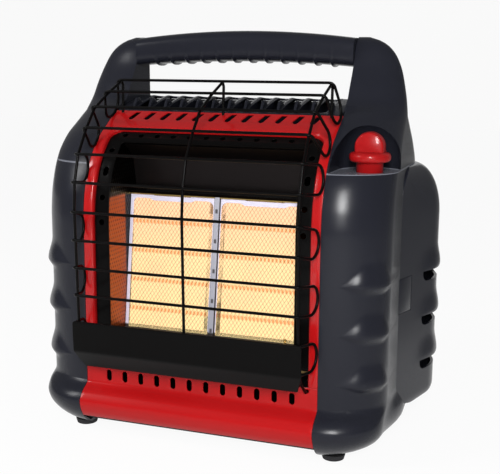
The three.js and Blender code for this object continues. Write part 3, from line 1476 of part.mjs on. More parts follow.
function makePilot() {
  const { x, depth, plate: sheet, shelfHeight, bend, riserX, tubeHeight } = pilot;
  const wallFace = frame.halfOpening - fit;
  const shelfZ = [shelfHeight, shelfHeight + sheet];
  const shelfY = [pilot.shelfFront, pilot.shelfBack];
  const shelf = block([pilot.shelfEnd, wallFace], shelfY, shelfZ);
  const upright = block([wallFace - sheet, wallFace], shelfY, [shelfHeight, pilot.top]);
  const head = rod([x, depth, shelfHeight - pilot.tail], [x, depth, pilot.top], pilot.headRadius, 10);
  const valveFront = knob.depth - valve.halfDepth - fit;
  const inlet = valve.boreFoot + bend;
  const line = [
    [x, depth, shelfHeight - pilot.tail + fit], [x, depth, tubeHeight + bend], [x + bend, depth, tubeHeight],
    [riserX - bend, depth, tubeHeight], [riserX, depth, tubeHeight + bend], [riserX, depth, inlet - bend],
    [riserX, depth + bend, inlet], [riserX, valveFront, inlet],
  ];
  const bores = [[pilot.probeX, pilot.probeRadius], [pilot.sparkX, pilot.sparkRadius]].map(([at, radius]) =>
    rod([at, pilot.probeDepth, shelfHeight - overrun], [at, pilot.probeDepth, shelfHeight + overrun], radius + fit, 8));
  const bracket = cut(shelf.add(upright), bores);
  place('pilot_burner', join([bracket, head, tube(line, pilot.tubeRadius, 5)]), finishes.brass);

  const seat = shelfHeight + sheet + fit;
  const seated = (at, radius, top) => {
    const stem = rod([at, pilot.probeDepth, shelfHeight - pilot.tail], [at, pilot.probeDepth, top], radius, 8);
    const nut = rod([at, pilot.probeDepth, seat], [at, pilot.probeDepth, seat + pilot.nutRise], radius + pilot.nutWidth, 6);
    return stem.add(nut);
  };
  place('thermocouple', seated(pilot.probeX, pilot.probeRadius, pilot.probeTop), finishes.brass);
  const insulator = seated(pilot.sparkX, pilot.sparkRadius, pilot.top);
  const tip = rod([pilot.sparkX, pilot.probeDepth, pilot.top - fit], [pilot.sparkX, pilot.probeDepth, pilot.sparkTop], pilot.sparkTipRadius, 6);
  place('spark_electrode', insulator.add(tip), finishes.ceramic);
}

function makeTipSwitch() {
  const x = -chassis.halfWidth - fit - tipSwitch.radius;
  const barrel = rod([x, tipSwitch.depth, tipSwitch.foot], [x, tipSwitch.depth, tipSwitch.top], tipSwitch.radius, 14);
  place('tip_switch', barrel, finishes.darkPlastic);
}

// Swivelling regulators in the bays and the tube they feed

const bayFace = body.seamDepth + fit;
const onPivot = (z) => [regulator.pivotX, regulator.pivotDepth, z];

function makeRegulators() {
  const { pivotX, pivotDepth, barrelRadius, earFoot, earTop, earThickness } = regulator;
  const depths = [bayFace, bayFace + regulator.plateThickness];
  const plateBlock = block(around(pivotX, regulator.plateHalf), depths, [regulator.plateFoot, regulator.plateTop]);
  const ears = [[earFoot, earFoot + earThickness], [earTop - earThickness, earTop]].flatMap(([low, high]) => [
    block(around(pivotX, barrelRadius), [bayFace, pivotDepth], [low, high]),
    rod(onPivot(low), onPivot(high), barrelRadius, 12),
  ]);
  const pin = rod(onPivot(earFoot), onPivot(earTop), regulator.pinRadius, 8);
  placeBoth('swivel', join([plateBlock, ...ears, pin]), finishes.steel);

  const at = (z) => [regulator.x, regulator.depth, z];
  const cup = rod(at(regulator.socketFoot), at(regulator.bodyFoot + fit), regulator.socketRadius, 14);
  const bodyDisc = rod(at(regulator.bodyFoot), at(regulator.bodyTop), regulator.bodyRadius, 16);
  const bonnet = rod(at(regulator.bodyTop - fit), at(regulator.bonnetTop), regulator.bonnetRadius, 14);
  const barrelFoot = earFoot + earThickness + fit;
  const barrelTop = earTop - earThickness - fit;
  const barrel = rod(onPivot(barrelFoot), onPivot(barrelTop), barrelRadius, 12);
  const run = new THREE.Vector2(regulator.x - pivotX, regulator.depth - pivotDepth);
  const aside = new THREE.Vector2(-run.y, run.x).setLength(regulator.armWidth / 2);
  const arm = upHeight(outline([
    [pivotX + aside.x, pivotDepth + aside.y], [regulator.x + aside.x, regulator.depth + aside.y],
    [regulator.x - aside.x, regulator.depth - aside.y], [pivotX - aside.x, pivotDepth - aside.y],
  ]), regulator.armFoot, regulator.armTop);
  const bore = rod(onPivot(barrelFoot - overrun), onPivot(barrelTop + overrun), regulator.pinRadius + fit, 8);
  const mouth = rod(at(regulator.socketFoot - overrun), at(regulator.bodyFoot), regulator.socketBore, 14);
  placeBoth('regulator', cut(join([cup, bodyDisc, bonnet, arm, barrel]), [bore, mouth]), finishes.blackSteel);

  const { bend, runHeight, feedDepth } = supply;
  const stub = regulator.earTop + fit;
  const line = [
    [-pivotX, pivotDepth, stub], [-pivotX, pivotDepth, runHeight - bend], [bend - pivotX, pivotDepth, runHeight],
    [supply.x - bend, pivotDepth, runHeight], [supply.x, pivotDepth - bend, runHeight],
    [supply.x, feedDepth + bend, runHeight], [supply.x, feedDepth, runHeight - bend],
    [supply.x, feedDepth, supply.height + bend], [supply.x, feedDepth - bend, supply.height],
    [supply.x, knob.depth + valve.halfDepth + fit, supply.height],
  ];
  const drop = rod([pivotX, pivotDepth, stub], [pivotX, pivotDepth, runHeight], supply.radius, 6);
  place('supply_tube', tube(line, supply.radius, 6).add(drop), finishes.brass);
}

// Bulged bay doors

// Where the door's flat front part leaves the seam, and the circle it runs into
function doorCircle(z) {
  const rise = Math.max((z - door.domeFoot) / (door.top - door.domeFoot), 0);
  const swell = Math.sqrt(Math.max(1 - rise * rise, 0));
  const mix = (flush, bulge) => flush + (bulge - flush) * swell;
  const up = Math.min((z - door.foot) / door.footRound, 1);
  const tuck = door.footTuck * (1 - Math.sqrt(1 - (1 - up) ** 2));
  const centre = [mix(door.flushX, door.bulgeX), mix(door.flushDepth, door.bulgeDepth)];
  const radius = mix(door.flushRadius, door.bulgeRadius) - tuck;
  const [x, y] = [sideAt(z), bayFace];
  const [dx, dy] = [centre[0] - x, centre[1] - y];
  const heading = Math.atan2(dy, dx) - Math.asin(radius / Math.hypot(dx, dy));
  return { x, y, centre, radius, heading };
}

function doorSection(z) {
  const { x, y, centre, radius, heading } = doorCircle(z);
  const start = heading - Math.PI / 2;
  const rise = door.ribHeightShare * ribRise(z + door.ribDrop, podRib.fullShare);
  const flatRun = Math.sqrt((centre[0] - x) ** 2 + (centre[1] - y) ** 2 - radius ** 2);
  const line = (inward) => {
    const points = [0, flatRun * door.ribStartShare].map((along) => [
      x + along * Math.cos(heading) - inward * Math.cos(start),
      y + along * Math.sin(heading) - inward * Math.sin(start),
      z,
    ]);
    for (let i = 0; i <= door.arcSteps; i += 1) {
      const turn = i / door.arcSteps;
      const angle = start + (Math.PI / 2 - start) * turn;
      const r = radius - inward + (inward ? 0 : rise * smooth((1 - turn) / door.ribFadeShare));
      points.push([centre[0] + r * Math.cos(angle), centre[1] + r * Math.sin(angle), z]);
    }
    points.push([door.hingeEndX, centre[1] + radius - inward, z]);
    return points;
  };
  return [...line(0), ...line(door.thickness).reverse()];
}

function doorHeights() {
  const foot = [door.foot, door.foot + door.footRound / 3, door.foot + door.footRound];
  const dome = door.domeShares.map((share) => door.domeFoot + (door.top - door.domeFoot) * share);
  const ribs = ribHeights.map((z) => z - door.ribDrop);
  return [...foot, ...ribs, ...dome].sort((a, b) => a - b);
}

// A point on the door's flat front part: along it from the seam, and outward
function onDoor(along, outward) {
  const { x, y, heading } = doorCircle(latch.height);
  const [c, s] = [Math.cos(heading), Math.sin(heading)];
  return [x + along * c + outward * s, y + along * s - outward * c];
}

const strip = (from, to, inner, outer) => outline([onDoor(from, inner), onDoor(to, inner), onDoor(to, outer), onDoor(from, outer)]);

function makeDoors() {
  const skin = loft(doorHeights().map(doorSection)).intersect(acrossWidth(doorwayShape(-fit), 0, body.halfWidth * 2));
  const vents = podRib.crests.map((crest) => {
    const top = crest - door.ribDrop - door.slotDrop;
    const vent = new THREE.Shape();
    vent.moveTo(door.slotFront, top);
    vent.quadraticCurveTo(door.slotFront, top - door.slotHeight, door.slotFront + door.slotRound, top - door.slotHeight);
    vent.lineTo(door.slotBack - door.slotRound, top - door.slotHeight);
    vent.quadraticCurveTo(door.slotBack, top - door.slotHeight, door.slotBack, top);
    vent.closePath();
    return acrossWidth(vent, door.slotInner, body.halfWidth + body.cornerDepth);
  });
  const levels = [[hinge.foot, hinge.foot + hinge.knuckle], [hinge.top - hinge.knuckle, hinge.top]];
  const endDepth = door.bulgeDepth + door.bulgeRadius;
  const knuckles = levels.flatMap(([low, high]) => [
    rod([hinge.x, hinge.depth, low], [hinge.x, hinge.depth, high], hinge.radius),
    block([hinge.x, door.hingeEndX + door.thickness], [endDepth - door.thickness, endDepth + hinge.tail], [low, high]),
  ]);
  const bore = rod([hinge.x, hinge.depth, 0], [hinge.x, hinge.depth, door.top], hinge.pinRadius + fit);
  const recessDepth = latch.thickness + fit * 2;
  const pad = upHeight(
    strip(0, latch.length + latch.padMargin, -recessDepth - latch.padThickness, -door.thickness / 2),
    ...around(latch.height, latch.halfHeight + latch.padMargin),
  );
  const recess = upHeight(strip(-overrun, latch.length + fit * 2, -recessDepth, overrun * 2), ...around(latch.height, latch.halfHeight + fit));
  const [pinX, pinY] = onDoor(latch.length - latch.pinInset, -latch.pinDepth);
  const reach = latch.halfHeight + latch.pinReach;
  const pinAt = (z) => [pinX, pinY, z];
  const pinHole = rod(pinAt(latch.height - reach - fit), pinAt(latch.height + reach + fit), latch.pinRadius + fit, 6);
  const panel = cut(join([skin, pad, ...knuckles]), [...vents, bore, recess, pinHole]);
  placeBoth('door', panel, finishes.housing);

  const tab = upHeight(strip(-latch.nose, latch.length, -latch.thickness, 0), ...around(latch.height, latch.halfHeight));
  const latchPin = rod(pinAt(latch.height - reach), pinAt(latch.height + reach), latch.pinRadius, 6);
  placeBoth('latch', tab.add(latchPin), finishes.housing);

  const pin = rod([hinge.x, hinge.depth, hinge.foot - hinge.tail], [hinge.x, hinge.depth, hinge.top + hinge.tail], hinge.pinRadius);
  placeBoth('hinge_pin', pin, finishes.steel);
}

makePods();
makeFeet();
makeBezel();
makeLowerPanel();
makeInnerFrame();
makeChassis();
makeBasePan();
makeChamber();
makeBurners();
makeBurnerTrim();
makeGuard();
makePlate();
makeTopGrille();
makeGrip();
makeRearCover();
makeFan();
makeDuct();
makeBatteryBay();
makeSwitchAndSocket();
makeValve();
makeManifold();
makePilot();
makeTipSwitch();
makeRegulators();
makeDoors();

heater.position.y = -body.depth / 2 + wire.radius;

export default heater;
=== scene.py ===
import json
import math

import bmesh
import bpy
import numpy as np
from mathutils import Matrix, Vector


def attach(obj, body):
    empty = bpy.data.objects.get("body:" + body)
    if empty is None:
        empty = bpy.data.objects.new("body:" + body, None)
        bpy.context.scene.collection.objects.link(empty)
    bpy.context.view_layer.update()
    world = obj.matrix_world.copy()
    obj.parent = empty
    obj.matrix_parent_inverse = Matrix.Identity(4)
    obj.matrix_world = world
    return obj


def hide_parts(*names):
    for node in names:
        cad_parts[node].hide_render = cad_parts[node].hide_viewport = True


bl_info = {
    "name": "Portable propane heater",
    "version": (1, 0, 0),
    "blender": (4, 5, 0),
    "location": "3D View > Sidebar > Heater",
    "description": "Dresses the solids of a portable radiant gas heater and sets its stage",
    "category": "Object",
}

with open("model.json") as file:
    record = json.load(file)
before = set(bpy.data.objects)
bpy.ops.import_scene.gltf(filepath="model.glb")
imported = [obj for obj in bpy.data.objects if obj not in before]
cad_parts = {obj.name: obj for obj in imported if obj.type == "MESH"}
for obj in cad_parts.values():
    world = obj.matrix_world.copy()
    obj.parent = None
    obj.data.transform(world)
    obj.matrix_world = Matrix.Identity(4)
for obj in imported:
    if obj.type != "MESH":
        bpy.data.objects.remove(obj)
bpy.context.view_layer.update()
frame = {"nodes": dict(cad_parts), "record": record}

# Outlines are in millimetres: x to the right, depth back from the guard's front wires, height up.

FRONT_WIRES = 147
HEIGHT = 427
FRONT_REACH, BACK_REACH, SIDE_REACH = 160, 282, 192
FRONT_EDGE = [
    (0.014, 0.3), (0.028, 0.231), (0.047, 0.181), (0.066, 0.15), (0.087, 0.134), (0.108, 0.163),
    (0.133, 0.25), (0.164, 0.25), (0.543, 0.25), (0.597, 0.263), (0.649, 0.3), (0.698, 0.366),
    (0.747, 0.484), (0.775, 0.594), (0.813, 0.756), (0.843, 0.89), (0.876, 0.947), (0.923, 1.031),
    (0.986, 1.119), (1, 1.175),
]
BACK_EDGE = [
    (0.014, 0.94), (0.028, 0.965), (0.047, 0.985), (0.06, 0.99), (0.686, 0.869), (0.726, 0.837),
    (0.773, 0.8), (0.813, 0.76), (0.843, 0.72), (0.986, 0.715), (1, 0.69),
]
SIDE_EDGE = [
    (0.014, 0.833), (0.028, 0.917), (0.047, 0.969), (0.07, 0.995), (0.09, 1), (0.7, 1),
    (0.738, 0.995), (0.775, 0.984), (0.836, 0.967), (0.878, 0.948), (0.913, 0.927),
    (0.937, 0.906), (0.958, 0.88), (0.979, 0.836), (0.993, 0.781), (1, 0.729),
]
FIT = 0.3
WALL = 3
SEAM = 132
CORNER = 50
POD_INNER = 130.3
DECK_HALF = 128
DOOR_FOOT, DOOR_TOP = 27, 292.5
LEDGE = 293
SLOT_PITCH = 18.8
SLOT_PLACES = [(i - 5.5) * SLOT_PITCH for i in range(12)]
RIB_CRESTS = [83, 134, 184.5]
RIB_DROP = 6
SKIRT_FLARE, SKIRT_FULL, SKIRT_GONE = 9, 40, 58
LEAN = 0.138
TILE_FOOT = (80, 112)
TILE_SIDES, TILE_HEIGHT, TILE_DEPTH = (3.6, 102.7), 146.5, 12
RIM_DEPTHS, STRIP_DEPTHS, MESH_DEPTH = (-1.5, -0.3), (-3.4, -1.6), -0.9
MESH_RADIUS, DIAMOND = 0.155, (4.3, 6.6)
SHEET = 1.5
PANEL_HALF = 130
OPENING_HALF, OPENING_TOP, OPENING_CORNER, OPENING_ROLL = 119.5, 329, 16, 3
FRAME_HALF, FRAME_OPENING = 119.2, 103
BEZEL_TOP = 346
DECK_BACK = (203, 358.5)
POD_FOOT = 5.978
BAY_TOP = 235
DOOR_PIN = (113, 283.5)
LATCH_HEIGHTS = (137.7, 176.3)
KNOB = (165, 92)
FOOT_X, FOOT_DEPTHS = 143, {"front": 60, "rear": 246}
UPRIGHT_X, HOOK_HEIGHT = 119, 75
ALL_ACROSS, PAST_SIDE, PAST_BACK = (-192, 384), 384, 297


# Shaping


def through(stations, reach):
    """A smooth line through (height share, reach share) stations, without overshoot."""
    heights = [share * HEIGHT for share, _ in stations]
    values = [share * reach for _, share in stations]
    count = len(heights)
    slopes = [(values[i + 1] - values[i]) / (heights[i + 1] - heights[i]) for i in range(count - 1)]
    bends = []
    for i in range(count):
        before, after = slopes[max(i - 1, 0)], slopes[min(i, count - 2)]
        bends.append(0 if before * after <= 0 else 2 * before * after / (before + after))

    def line(z):
        i = int(np.clip(np.searchsorted(heights, z, side="right") - 1, 0, count - 2))
        step = heights[i + 1] - heights[i]
        t = min(max((z - heights[i]) / step, 0), 1)
        start = (2 * t**3 - 3 * t**2 + 1) * values[i] + (t**3 - 2 * t**2 + t) * step * bends[i]
        return start + (3 * t**2 - 2 * t**3) * values[i + 1] + (t**3 - t**2) * step * bends[i + 1]

    return line


front_at = through(FRONT_EDGE, FRONT_REACH)
back_at = through(BACK_EDGE, BACK_REACH)
side_at = through(SIDE_EDGE, SIDE_REACH)


def smooth(value):
    t = min(max(value, 0), 1)
    return t * t * (3 - 2 * t)


def spread(low, high, step):
    return list(np.linspace(low, high, max(2, round((high - low) / step) + 1)))


def turns(count):
    return [2 * math.pi * i / count for i in range(count)]


def metres(x, y, z):
    """A place of the outlines as a place in the heater's frame."""
    return (x / 1000, (y - FRONT_WIRES) / 1000, z / 1000)


def face_outward(mesh, joined=0):
    """Turns a mesh's faces outward, with points closer than the distance joined before."""
    form = bmesh.new()
    form.from_mesh(mesh)
    if joined:
        bmesh.ops.remove_doubles(form, verts=form.verts, dist=joined)
        bmesh.ops.dissolve_degenerate(form, edges=form.edges, dist=joined)
    bmesh.ops.recalc_face_normals(form, faces=form.faces)
    form.to_mesh(mesh)
    form.free()
    return mesh


def mesh_of(corners, faces):
    mesh = bpy.data.meshes.new("work")
    mesh.from_pydata([metres(*corner) for corner in corners], [], faces)
    return face_outward(mesh, 1e-6)


def loft(sections):
    """A closed form through rings of the same number of points."""
    count = len(sections[0])
    corners = [point for section in sections for point in section]
    faces = []
    for s in range(len(sections) - 1):
        for i in range(count):
            j = (i + 1) % count
            faces.append([s * count + i, s * count + j, (s + 1) * count + j, (s + 1) * count + i])
    faces.append(list(range(count))[::-1])
    faces.append([(len(sections) - 1) * count + i for i in range(count)])
    return mesh_of(corners, faces)


def prism(outline, axis, low, high):
    """A flat outline run along one axis, its points given in the two others, x before y before z."""
    def at(u, v, w):
        return {"x": (w, u, v), "y": (u, w, v), "z": (u, v, w)}[axis]
    return loft([[at(u, v, w) for u, v in outline] for w in (low, high)])


def block(x, y, z):
    return prism([(x[0], y[0]), (x[1], y[0]), (x[1], y[1]), (x[0], y[1])], "z", *z)


def turned(profile, x, y, sides=64):
    """A profile of (radius, height) turned about an upright axis, closed on the axis."""
    return loft([[(u, v, z) for u, v in circle(x, y, max(r, 1e-4), sides)] for r, z in profile])


def rod(start, end, radius, sides=24):
    start, end = Vector(start), Vector(end)
    run = (end - start).normalized()
    side = run.orthogonal().normalized()
    up = run.cross(side)
    spin = [radius * (side * math.cos(a) + up * math.sin(a)) for a in turns(sides)]
    return loft([[tuple(centre + arm) for arm in spin] for centre in (start, end)])


def mirrored(mesh):
    copy = mesh.copy()
    copy.transform(Matrix.Scale(-1, 4, Vector((1, 0, 0))))
    copy.flip_normals()
    return copy


def placed(data):
    """A work object in the scene that holds the data."""
    holder = bpy.data.objects.new("work", data)
    bpy.context.scene.collection.objects.link(holder)
    return holder


def outcome(holder, tools=()):
    """The mesh that a work object's modifiers leave. The work object and its tools go."""
    bpy.context.view_layer.update()
    seen = holder.evaluated_get(bpy.context.evaluated_depsgraph_get())
    result = bpy.data.meshes.new_from_object(seen)
    for used in (holder, *tools):
        bpy.data.objects.remove(used)
    if len(result.polygons) == 0:
        raise RuntimeError("a step of the shaping left nothing")
    return result


def combine(mesh, others, operation="DIFFERENCE"):
    """The mesh with the others cut from it, joined to it, or kept where both are."""
    holder = placed(mesh)
    tools = [placed(other) for other in others]
    for tool in tools:
        step = holder.modifiers.new("work", "BOOLEAN")
        step.operation = operation
        step.solver = "MANIFOLD"
        step.object = tool
    return outcome(holder, tools)


def soften(mesh, width, angle=35):
    """Rounds the edges sharper than the angle."""
    holder = placed(mesh)
    step = holder.modifiers.new("work", "BEVEL")
    step.width = width / 1000
    step.segments = 3
    step.limit_method = "ANGLE"
    step.angle_limit = math.radians(angle)
    return outcome(holder)


def present(name, mesh, slot, replaced=(), body="housing", sharp=32, finish=None):
    """Puts a mesh in the scene as a piece of the heater, in its slot's finish or the named one."""
    mesh.name = name
    mesh.materials.clear()
    mesh.materials.append(finishes[finish or slot])
    for face in mesh.polygons:
        face.material_index = 0
    mesh.shade_smooth()
    mesh.set_sharp_from_angle(angle=math.radians(sharp))
    piece = bpy.data.objects.new(name, mesh)
    bpy.context.scene.collection.objects.link(piece)
    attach(piece, body)
    if replaced:
        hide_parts(*replaced)
    return piece


# Sheet forms: a flat pattern with rounded edges, bent along a side-view line


class Bend:
    """A side-view line of (depth, height) that flat patterns are bent along."""

    def __init__(self, points):
        self.points = np.array(points, float)
        runs = np.hypot(*np.diff(self.points, axis=0).T)
        self.along = np.concatenate([[0], np.cumsum(runs)])
        self.length = self.along[-1]

    def at_height(self, z):
        return float(np.interp(z, self.points[:, 1], self.along))

    def at_depth(self, y):
        return float(np.interp(y, self.points[:, 0], self.along))

    def place(self, x, along, inward):
        y = np.interp(along, self.along, self.points[:, 0])
        z = np.interp(along, self.along, self.points[:, 1])
        step = 0.6
        ends = [min(along + step, self.length), max(along - step, 0)]
        dy, dz = (-np.diff(np.interp(ends, self.along, self.points[:, i]))[0] for i in (0, 1))
        run = math.hypot(dy, dz)
        return (x, y + inward * dz / run, z - inward * dy / run)


def bent_sheet(bend, loops, near, far, edge=0.35, step=4):
    """A sheet from loops of (x, distance along the bend), between two depths behind its face."""
    curve = bpy.data.curves.new("work", "CURVE")
    curve.dimensions = "2D"
    curve.fill_mode = "BOTH"
    curve.extrude = (far - near) / 2 - edge
    curve.bevel_depth = edge
    curve.bevel_resolution = 2
    curve.offset = -edge
    for loop in loops:
        spline = curve.splines.new("POLY")
        spline.points.add(len(loop) - 1)
        spline.points.foreach_set("co", [value for u, v in loop for value in (u, v, 0, 1)])
        spline.use_cyclic_u = True
    flat = outcome(placed(curve))
    form = bmesh.new()
    form.from_mesh(flat)
    bmesh.ops.remove_doubles(form, verts=form.verts, dist=1e-4)
    for along in np.arange(step, bend.length, step):
        everything = [*form.verts, *form.edges, *form.faces]
        line = {"plane_co": (0, along, 0), "plane_no": (0, 1, 0)}
        bmesh.ops.bisect_plane(form, geom=everything, dist=1e-4, **line)
    middle = (near + far) / 2
    corners = [bend.place(v.co.x, v.co.y, middle - v.co.z) for v in form.verts]
    form.verts.index_update()
    faces = [[v.index for v in face.verts] for face in form.faces]
    form.free()
    return mesh_of(corners, faces)


def rounded_loop(points, radii, steps=6):
    """A flat polygon with each corner rounded to its radius."""
    loop = []
    count = len(points)
    for i, (point, radius) in enumerate(zip(points, radii)):
        here, before, after = Vector(point), Vector(points[i - 1]), Vector(points[(i + 1) % count])
        if radius == 0:
            loop.append(tuple(here))
            continue
        to_before, to_after = (before - here).normalized(), (after - here).normalized()
        angle = to_before.angle(to_after)
        reach = radius / math.tan(angle / 2)
        centre = here + (to_before + to_after).normalized() * (radius / math.sin(angle / 2))
        start, end = here + to_before * reach - centre, here + to_after * reach - centre
        first = math.atan2(start.y, start.x)
        turn = math.remainder(math.atan2(end.y, end.x) - first, 2 * math.pi)
        for k in range(steps + 1):
            a = first + turn * k / steps
            loop.append((centre.x + radius * math.cos(a), centre.y + radius * math.sin(a)))
    return loop


def stadium(x, y, half_width, half_length, steps=8):
    """A slot with round ends."""
    straight = half_length - half_width
    loop = []
    for first, centre in ((0, y + straight), (1, y - straight)):
        for k in range(steps + 1):
            a = math.pi * (first + k / steps)
            loop.append((x + half_width * math.cos(a), centre + half_width * math.sin(a)))
    return loop


def oblong(half, length):
    return [(-half, 0), (half, 0), (half, length), (-half, length)]


def circle(x, y, radius, steps=20):
    return [(x + radius * math.cos(a), y + radius * math.sin(a)) for a in turns(steps)]


def front_bend(low, high):
    return Bend([(front_at(z), z) for z in spread(low, high, 1.5)])


# Nodes


class Link:
    """A node's output; arithmetic on it adds Math nodes."""

    def __init__(self, graph, socket):
        self.graph = graph
        self.socket = socket

    def maths(self, operation, *others):
        return self.graph.node("ShaderNodeMath", {"operation": operation}, [self, *others])

    def __add__(self, other):
        return self.maths("ADD", other)

    __radd__ = __add__

    def __sub__(self, other):
        return self.maths("SUBTRACT", other)

    def __rsub__(self, other):
        return self.graph.node("ShaderNodeMath", {"operation": "SUBTRACT"}, [other, self])

    def __mul__(self, other):
        return self.maths("MULTIPLY", other)

    __rmul__ = __mul__

    def __truediv__(self, other):
        return self.maths("DIVIDE", other)

    def fraction(self):
        return self.maths("FRACT")

    def size(self):
        return self.maths("ABSOLUTE")

    def between(self, low, high):
        """Zero below the low value, one above the high one, smooth between them."""
        ends = {"Value": self, "From Min": low, "From Max": high}
        return self.graph.node("ShaderNodeMapRange", {"interpolation_type": "SMOOTHSTEP"}, ends)


class Graph:
    """A node tree that nodes are added to by type, settings and feeds."""

    def __init__(self, tree):
        tree.nodes.clear()
        self.tree = tree

    @classmethod
    def of(cls, owner):
        """The emptied node tree of a material or a world."""
        owner.use_nodes = True
        return cls(owner.node_tree)

    def node(self, kind, settings=None, feeds=None, out=0):
        made = self.tree.nodes.new(kind)
        for key, value in (settings or {}).items():
            if key == "stops":
                ramp = made.color_ramp
                while len(ramp.elements) < len(value):
                    ramp.elements.new(0.5)
                for element, (place, colour) in zip(ramp.elements, value):
                    element.position = place
                    element.color = (*colour, 1)
            else:
                setattr(made, key, value)
        pairs = feeds.items() if isinstance(feeds, dict) else enumerate(feeds or [])
        for key, value in pairs:
            if isinstance(value, Link):
                self.tree.links.new(value.socket, made.inputs[key])
            else:
                made.inputs[key].default_value = value
        return Link(self, made.outputs[out]) if len(made.outputs) else None

    def place(self):
        return self.node("ShaderNodeTexCoord", out="Object")

    def axis(self, name):
        return self.node("ShaderNodeSeparateXYZ", None, [self.place()], out=name)

    def noise(self, scale, detail=2, where=None):
        feeds = {"Vector": where or self.place(), "Scale": scale, "Detail": detail}
        return self.node("ShaderNodeTexNoise", None, feeds)

    def stretched(self, x, y, z):
        return self.node("ShaderNodeMapping", None, {"Vector": self.place(), "Scale": (x, y, z)})

    def blend(self, first, second, share):
        tint = [(*value, 1) if isinstance(value, tuple) else value for value in (first, second)]
        feeds = {0: share, 6: tint[0], 7: tint[1]}
        return self.node("ShaderNodeMix", {"data_type": "RGBA"}, feeds, out=2)

    def relief(self, height, depth, strength=1.0):
        feeds = {"Strength": strength, "Distance": depth, "Height": height}
        return self.node("ShaderNodeBump", None, feeds)


def surface(name, build):
    """A material whose Principled shader is fed by what build returns."""
    material = bpy.data.materials.new(name)
    graph = Graph.of(material)
    shader = graph.node("ShaderNodeBsdfPrincipled", None, build(graph))
    graph.node("ShaderNodeOutputMaterial", None, {"Surface": shader})
    return material


# Finishes


def navy_plastic(colour, sheen):
    def build(graph):
        cloud = graph.noise(9, 3)
        grain = graph.noise(1400, 2)
        pale = tuple(min(1, value * 1.35 + 0.002) for value in colour)
        # Painted highlight: a thin pale band at the height of the knob recess's ledge stands in for
        # light falling on the ledge from above.
        lit_ledge = 1 - (graph.axis("Z") - LEDGE / 1000).size().between(0.0006, 0.001)
        tinted = graph.blend(colour, pale, cloud * 0.6 + grain * 0.3)
        return {
            "Base Color": graph.blend(tinted, (0.14, 0.145, 0.17), lit_ledge),
            "Roughness": sheen + (cloud - 0.5) * 0.08 + (grain - 0.5) * 0.06,
            "Normal": graph.relief(grain, 0.00012, 0.35),
            "Specular IOR Level": 0.19,
        }
    return surface("navy_plastic", build)


def enamel(name, colour, gloss, coat, peel=0.00003, shine=0.12):
    """Gloss paint, its coat thinner low on the panel."""
    def build(graph):
        cloud = graph.noise(7, 2)
        ripple = graph.noise(420, 2)
        deep = tuple(value * 0.86 for value in colour)
        return {
            "Base Color": graph.blend(deep, colour, cloud),
            "Roughness": gloss + (cloud - 0.5) * 0.06,
            "Specular IOR Level": shine,
            "Coat Weight": (graph.axis("Z").between(0.072, 0.086) * 0.75 + 0.25) * coat,
            "Coat Roughness": 0.1,
            "Normal": graph.relief(ripple, peel, 0.6),
        }
    return surface(name, build)


def sheet_metal(name, colour, polish, brush=(40, 40, 900), soot=0.0):
    def build(graph):
        grain = graph.noise(1, 3, graph.stretched(*brush))
        cloud = graph.noise(18, 3)
        dull = tuple(value * 0.78 for value in colour)
        return {
            "Base Color": graph.blend(colour, dull, cloud * 0.7 + soot),
            "Metallic": 1.0,
            "Roughness": polish + (grain - 0.5) * 0.14 + (cloud - 0.5) * 0.08,
            "Normal": graph.relief(grain, 0.00006, 0.5),
        }
    return surface(name, build)


def plain_finish(name, dark, pale, cloud, grain, rough, shine, bump, strength):
    """A surface clouded between two colours, its roughness and relief set by a grain."""
    def build(graph):
        tone = graph.noise(*cloud)
        grit = graph.noise(*grain) if grain else tone
        low, high = rough
        return {
            "Base Color": graph.blend(dark, pale, tone),
            "Roughness": low + grit * (high - low),
            "Specular IOR Level": shine,
            "Normal": graph.relief(grit, bump, strength),
        }
    return surface(name, build)


def rubber_finish():
    dark, pale = (0.012, 0.012, 0.013), (0.03, 0.03, 0.032)
    return plain_finish(
        "foot_rubber", dark, pale, (700, 3), None, (0.75, 0.9), 0.2, 0.0002, 0.5)


def black_moulding():
    dark, pale = (0.012, 0.012, 0.014), (0.022, 0.022, 0.025)
    return plain_finish(
        "black_moulding", dark, pale, (30, 2), (1200, 2), (0.44, 0.56), 0.2, 0.0001, 0.4)


def glazed_ceramic():
    dark, pale = (0.78, 0.75, 0.69), (0.86, 0.84, 0.79)
    return plain_finish(
        "glazed_ceramic", dark, pale, (120, 2), None, (0.28, 0.38), 0.5, 0.0001, 0.3)


def tile_rise(z):
    """How far up the glowing tiles a height is, from zero to one."""
    glow_foot, glow_height = TILE_FOOT[1] / 1000, 0.146
    return (z - glow_foot) / glow_height


def tile_rows(z):
    """How far a height is through one of the rows of painted shade across the tiles, from zero to one.
    """
    return (tile_rise(z) * 4.593 + 0.385).fraction()


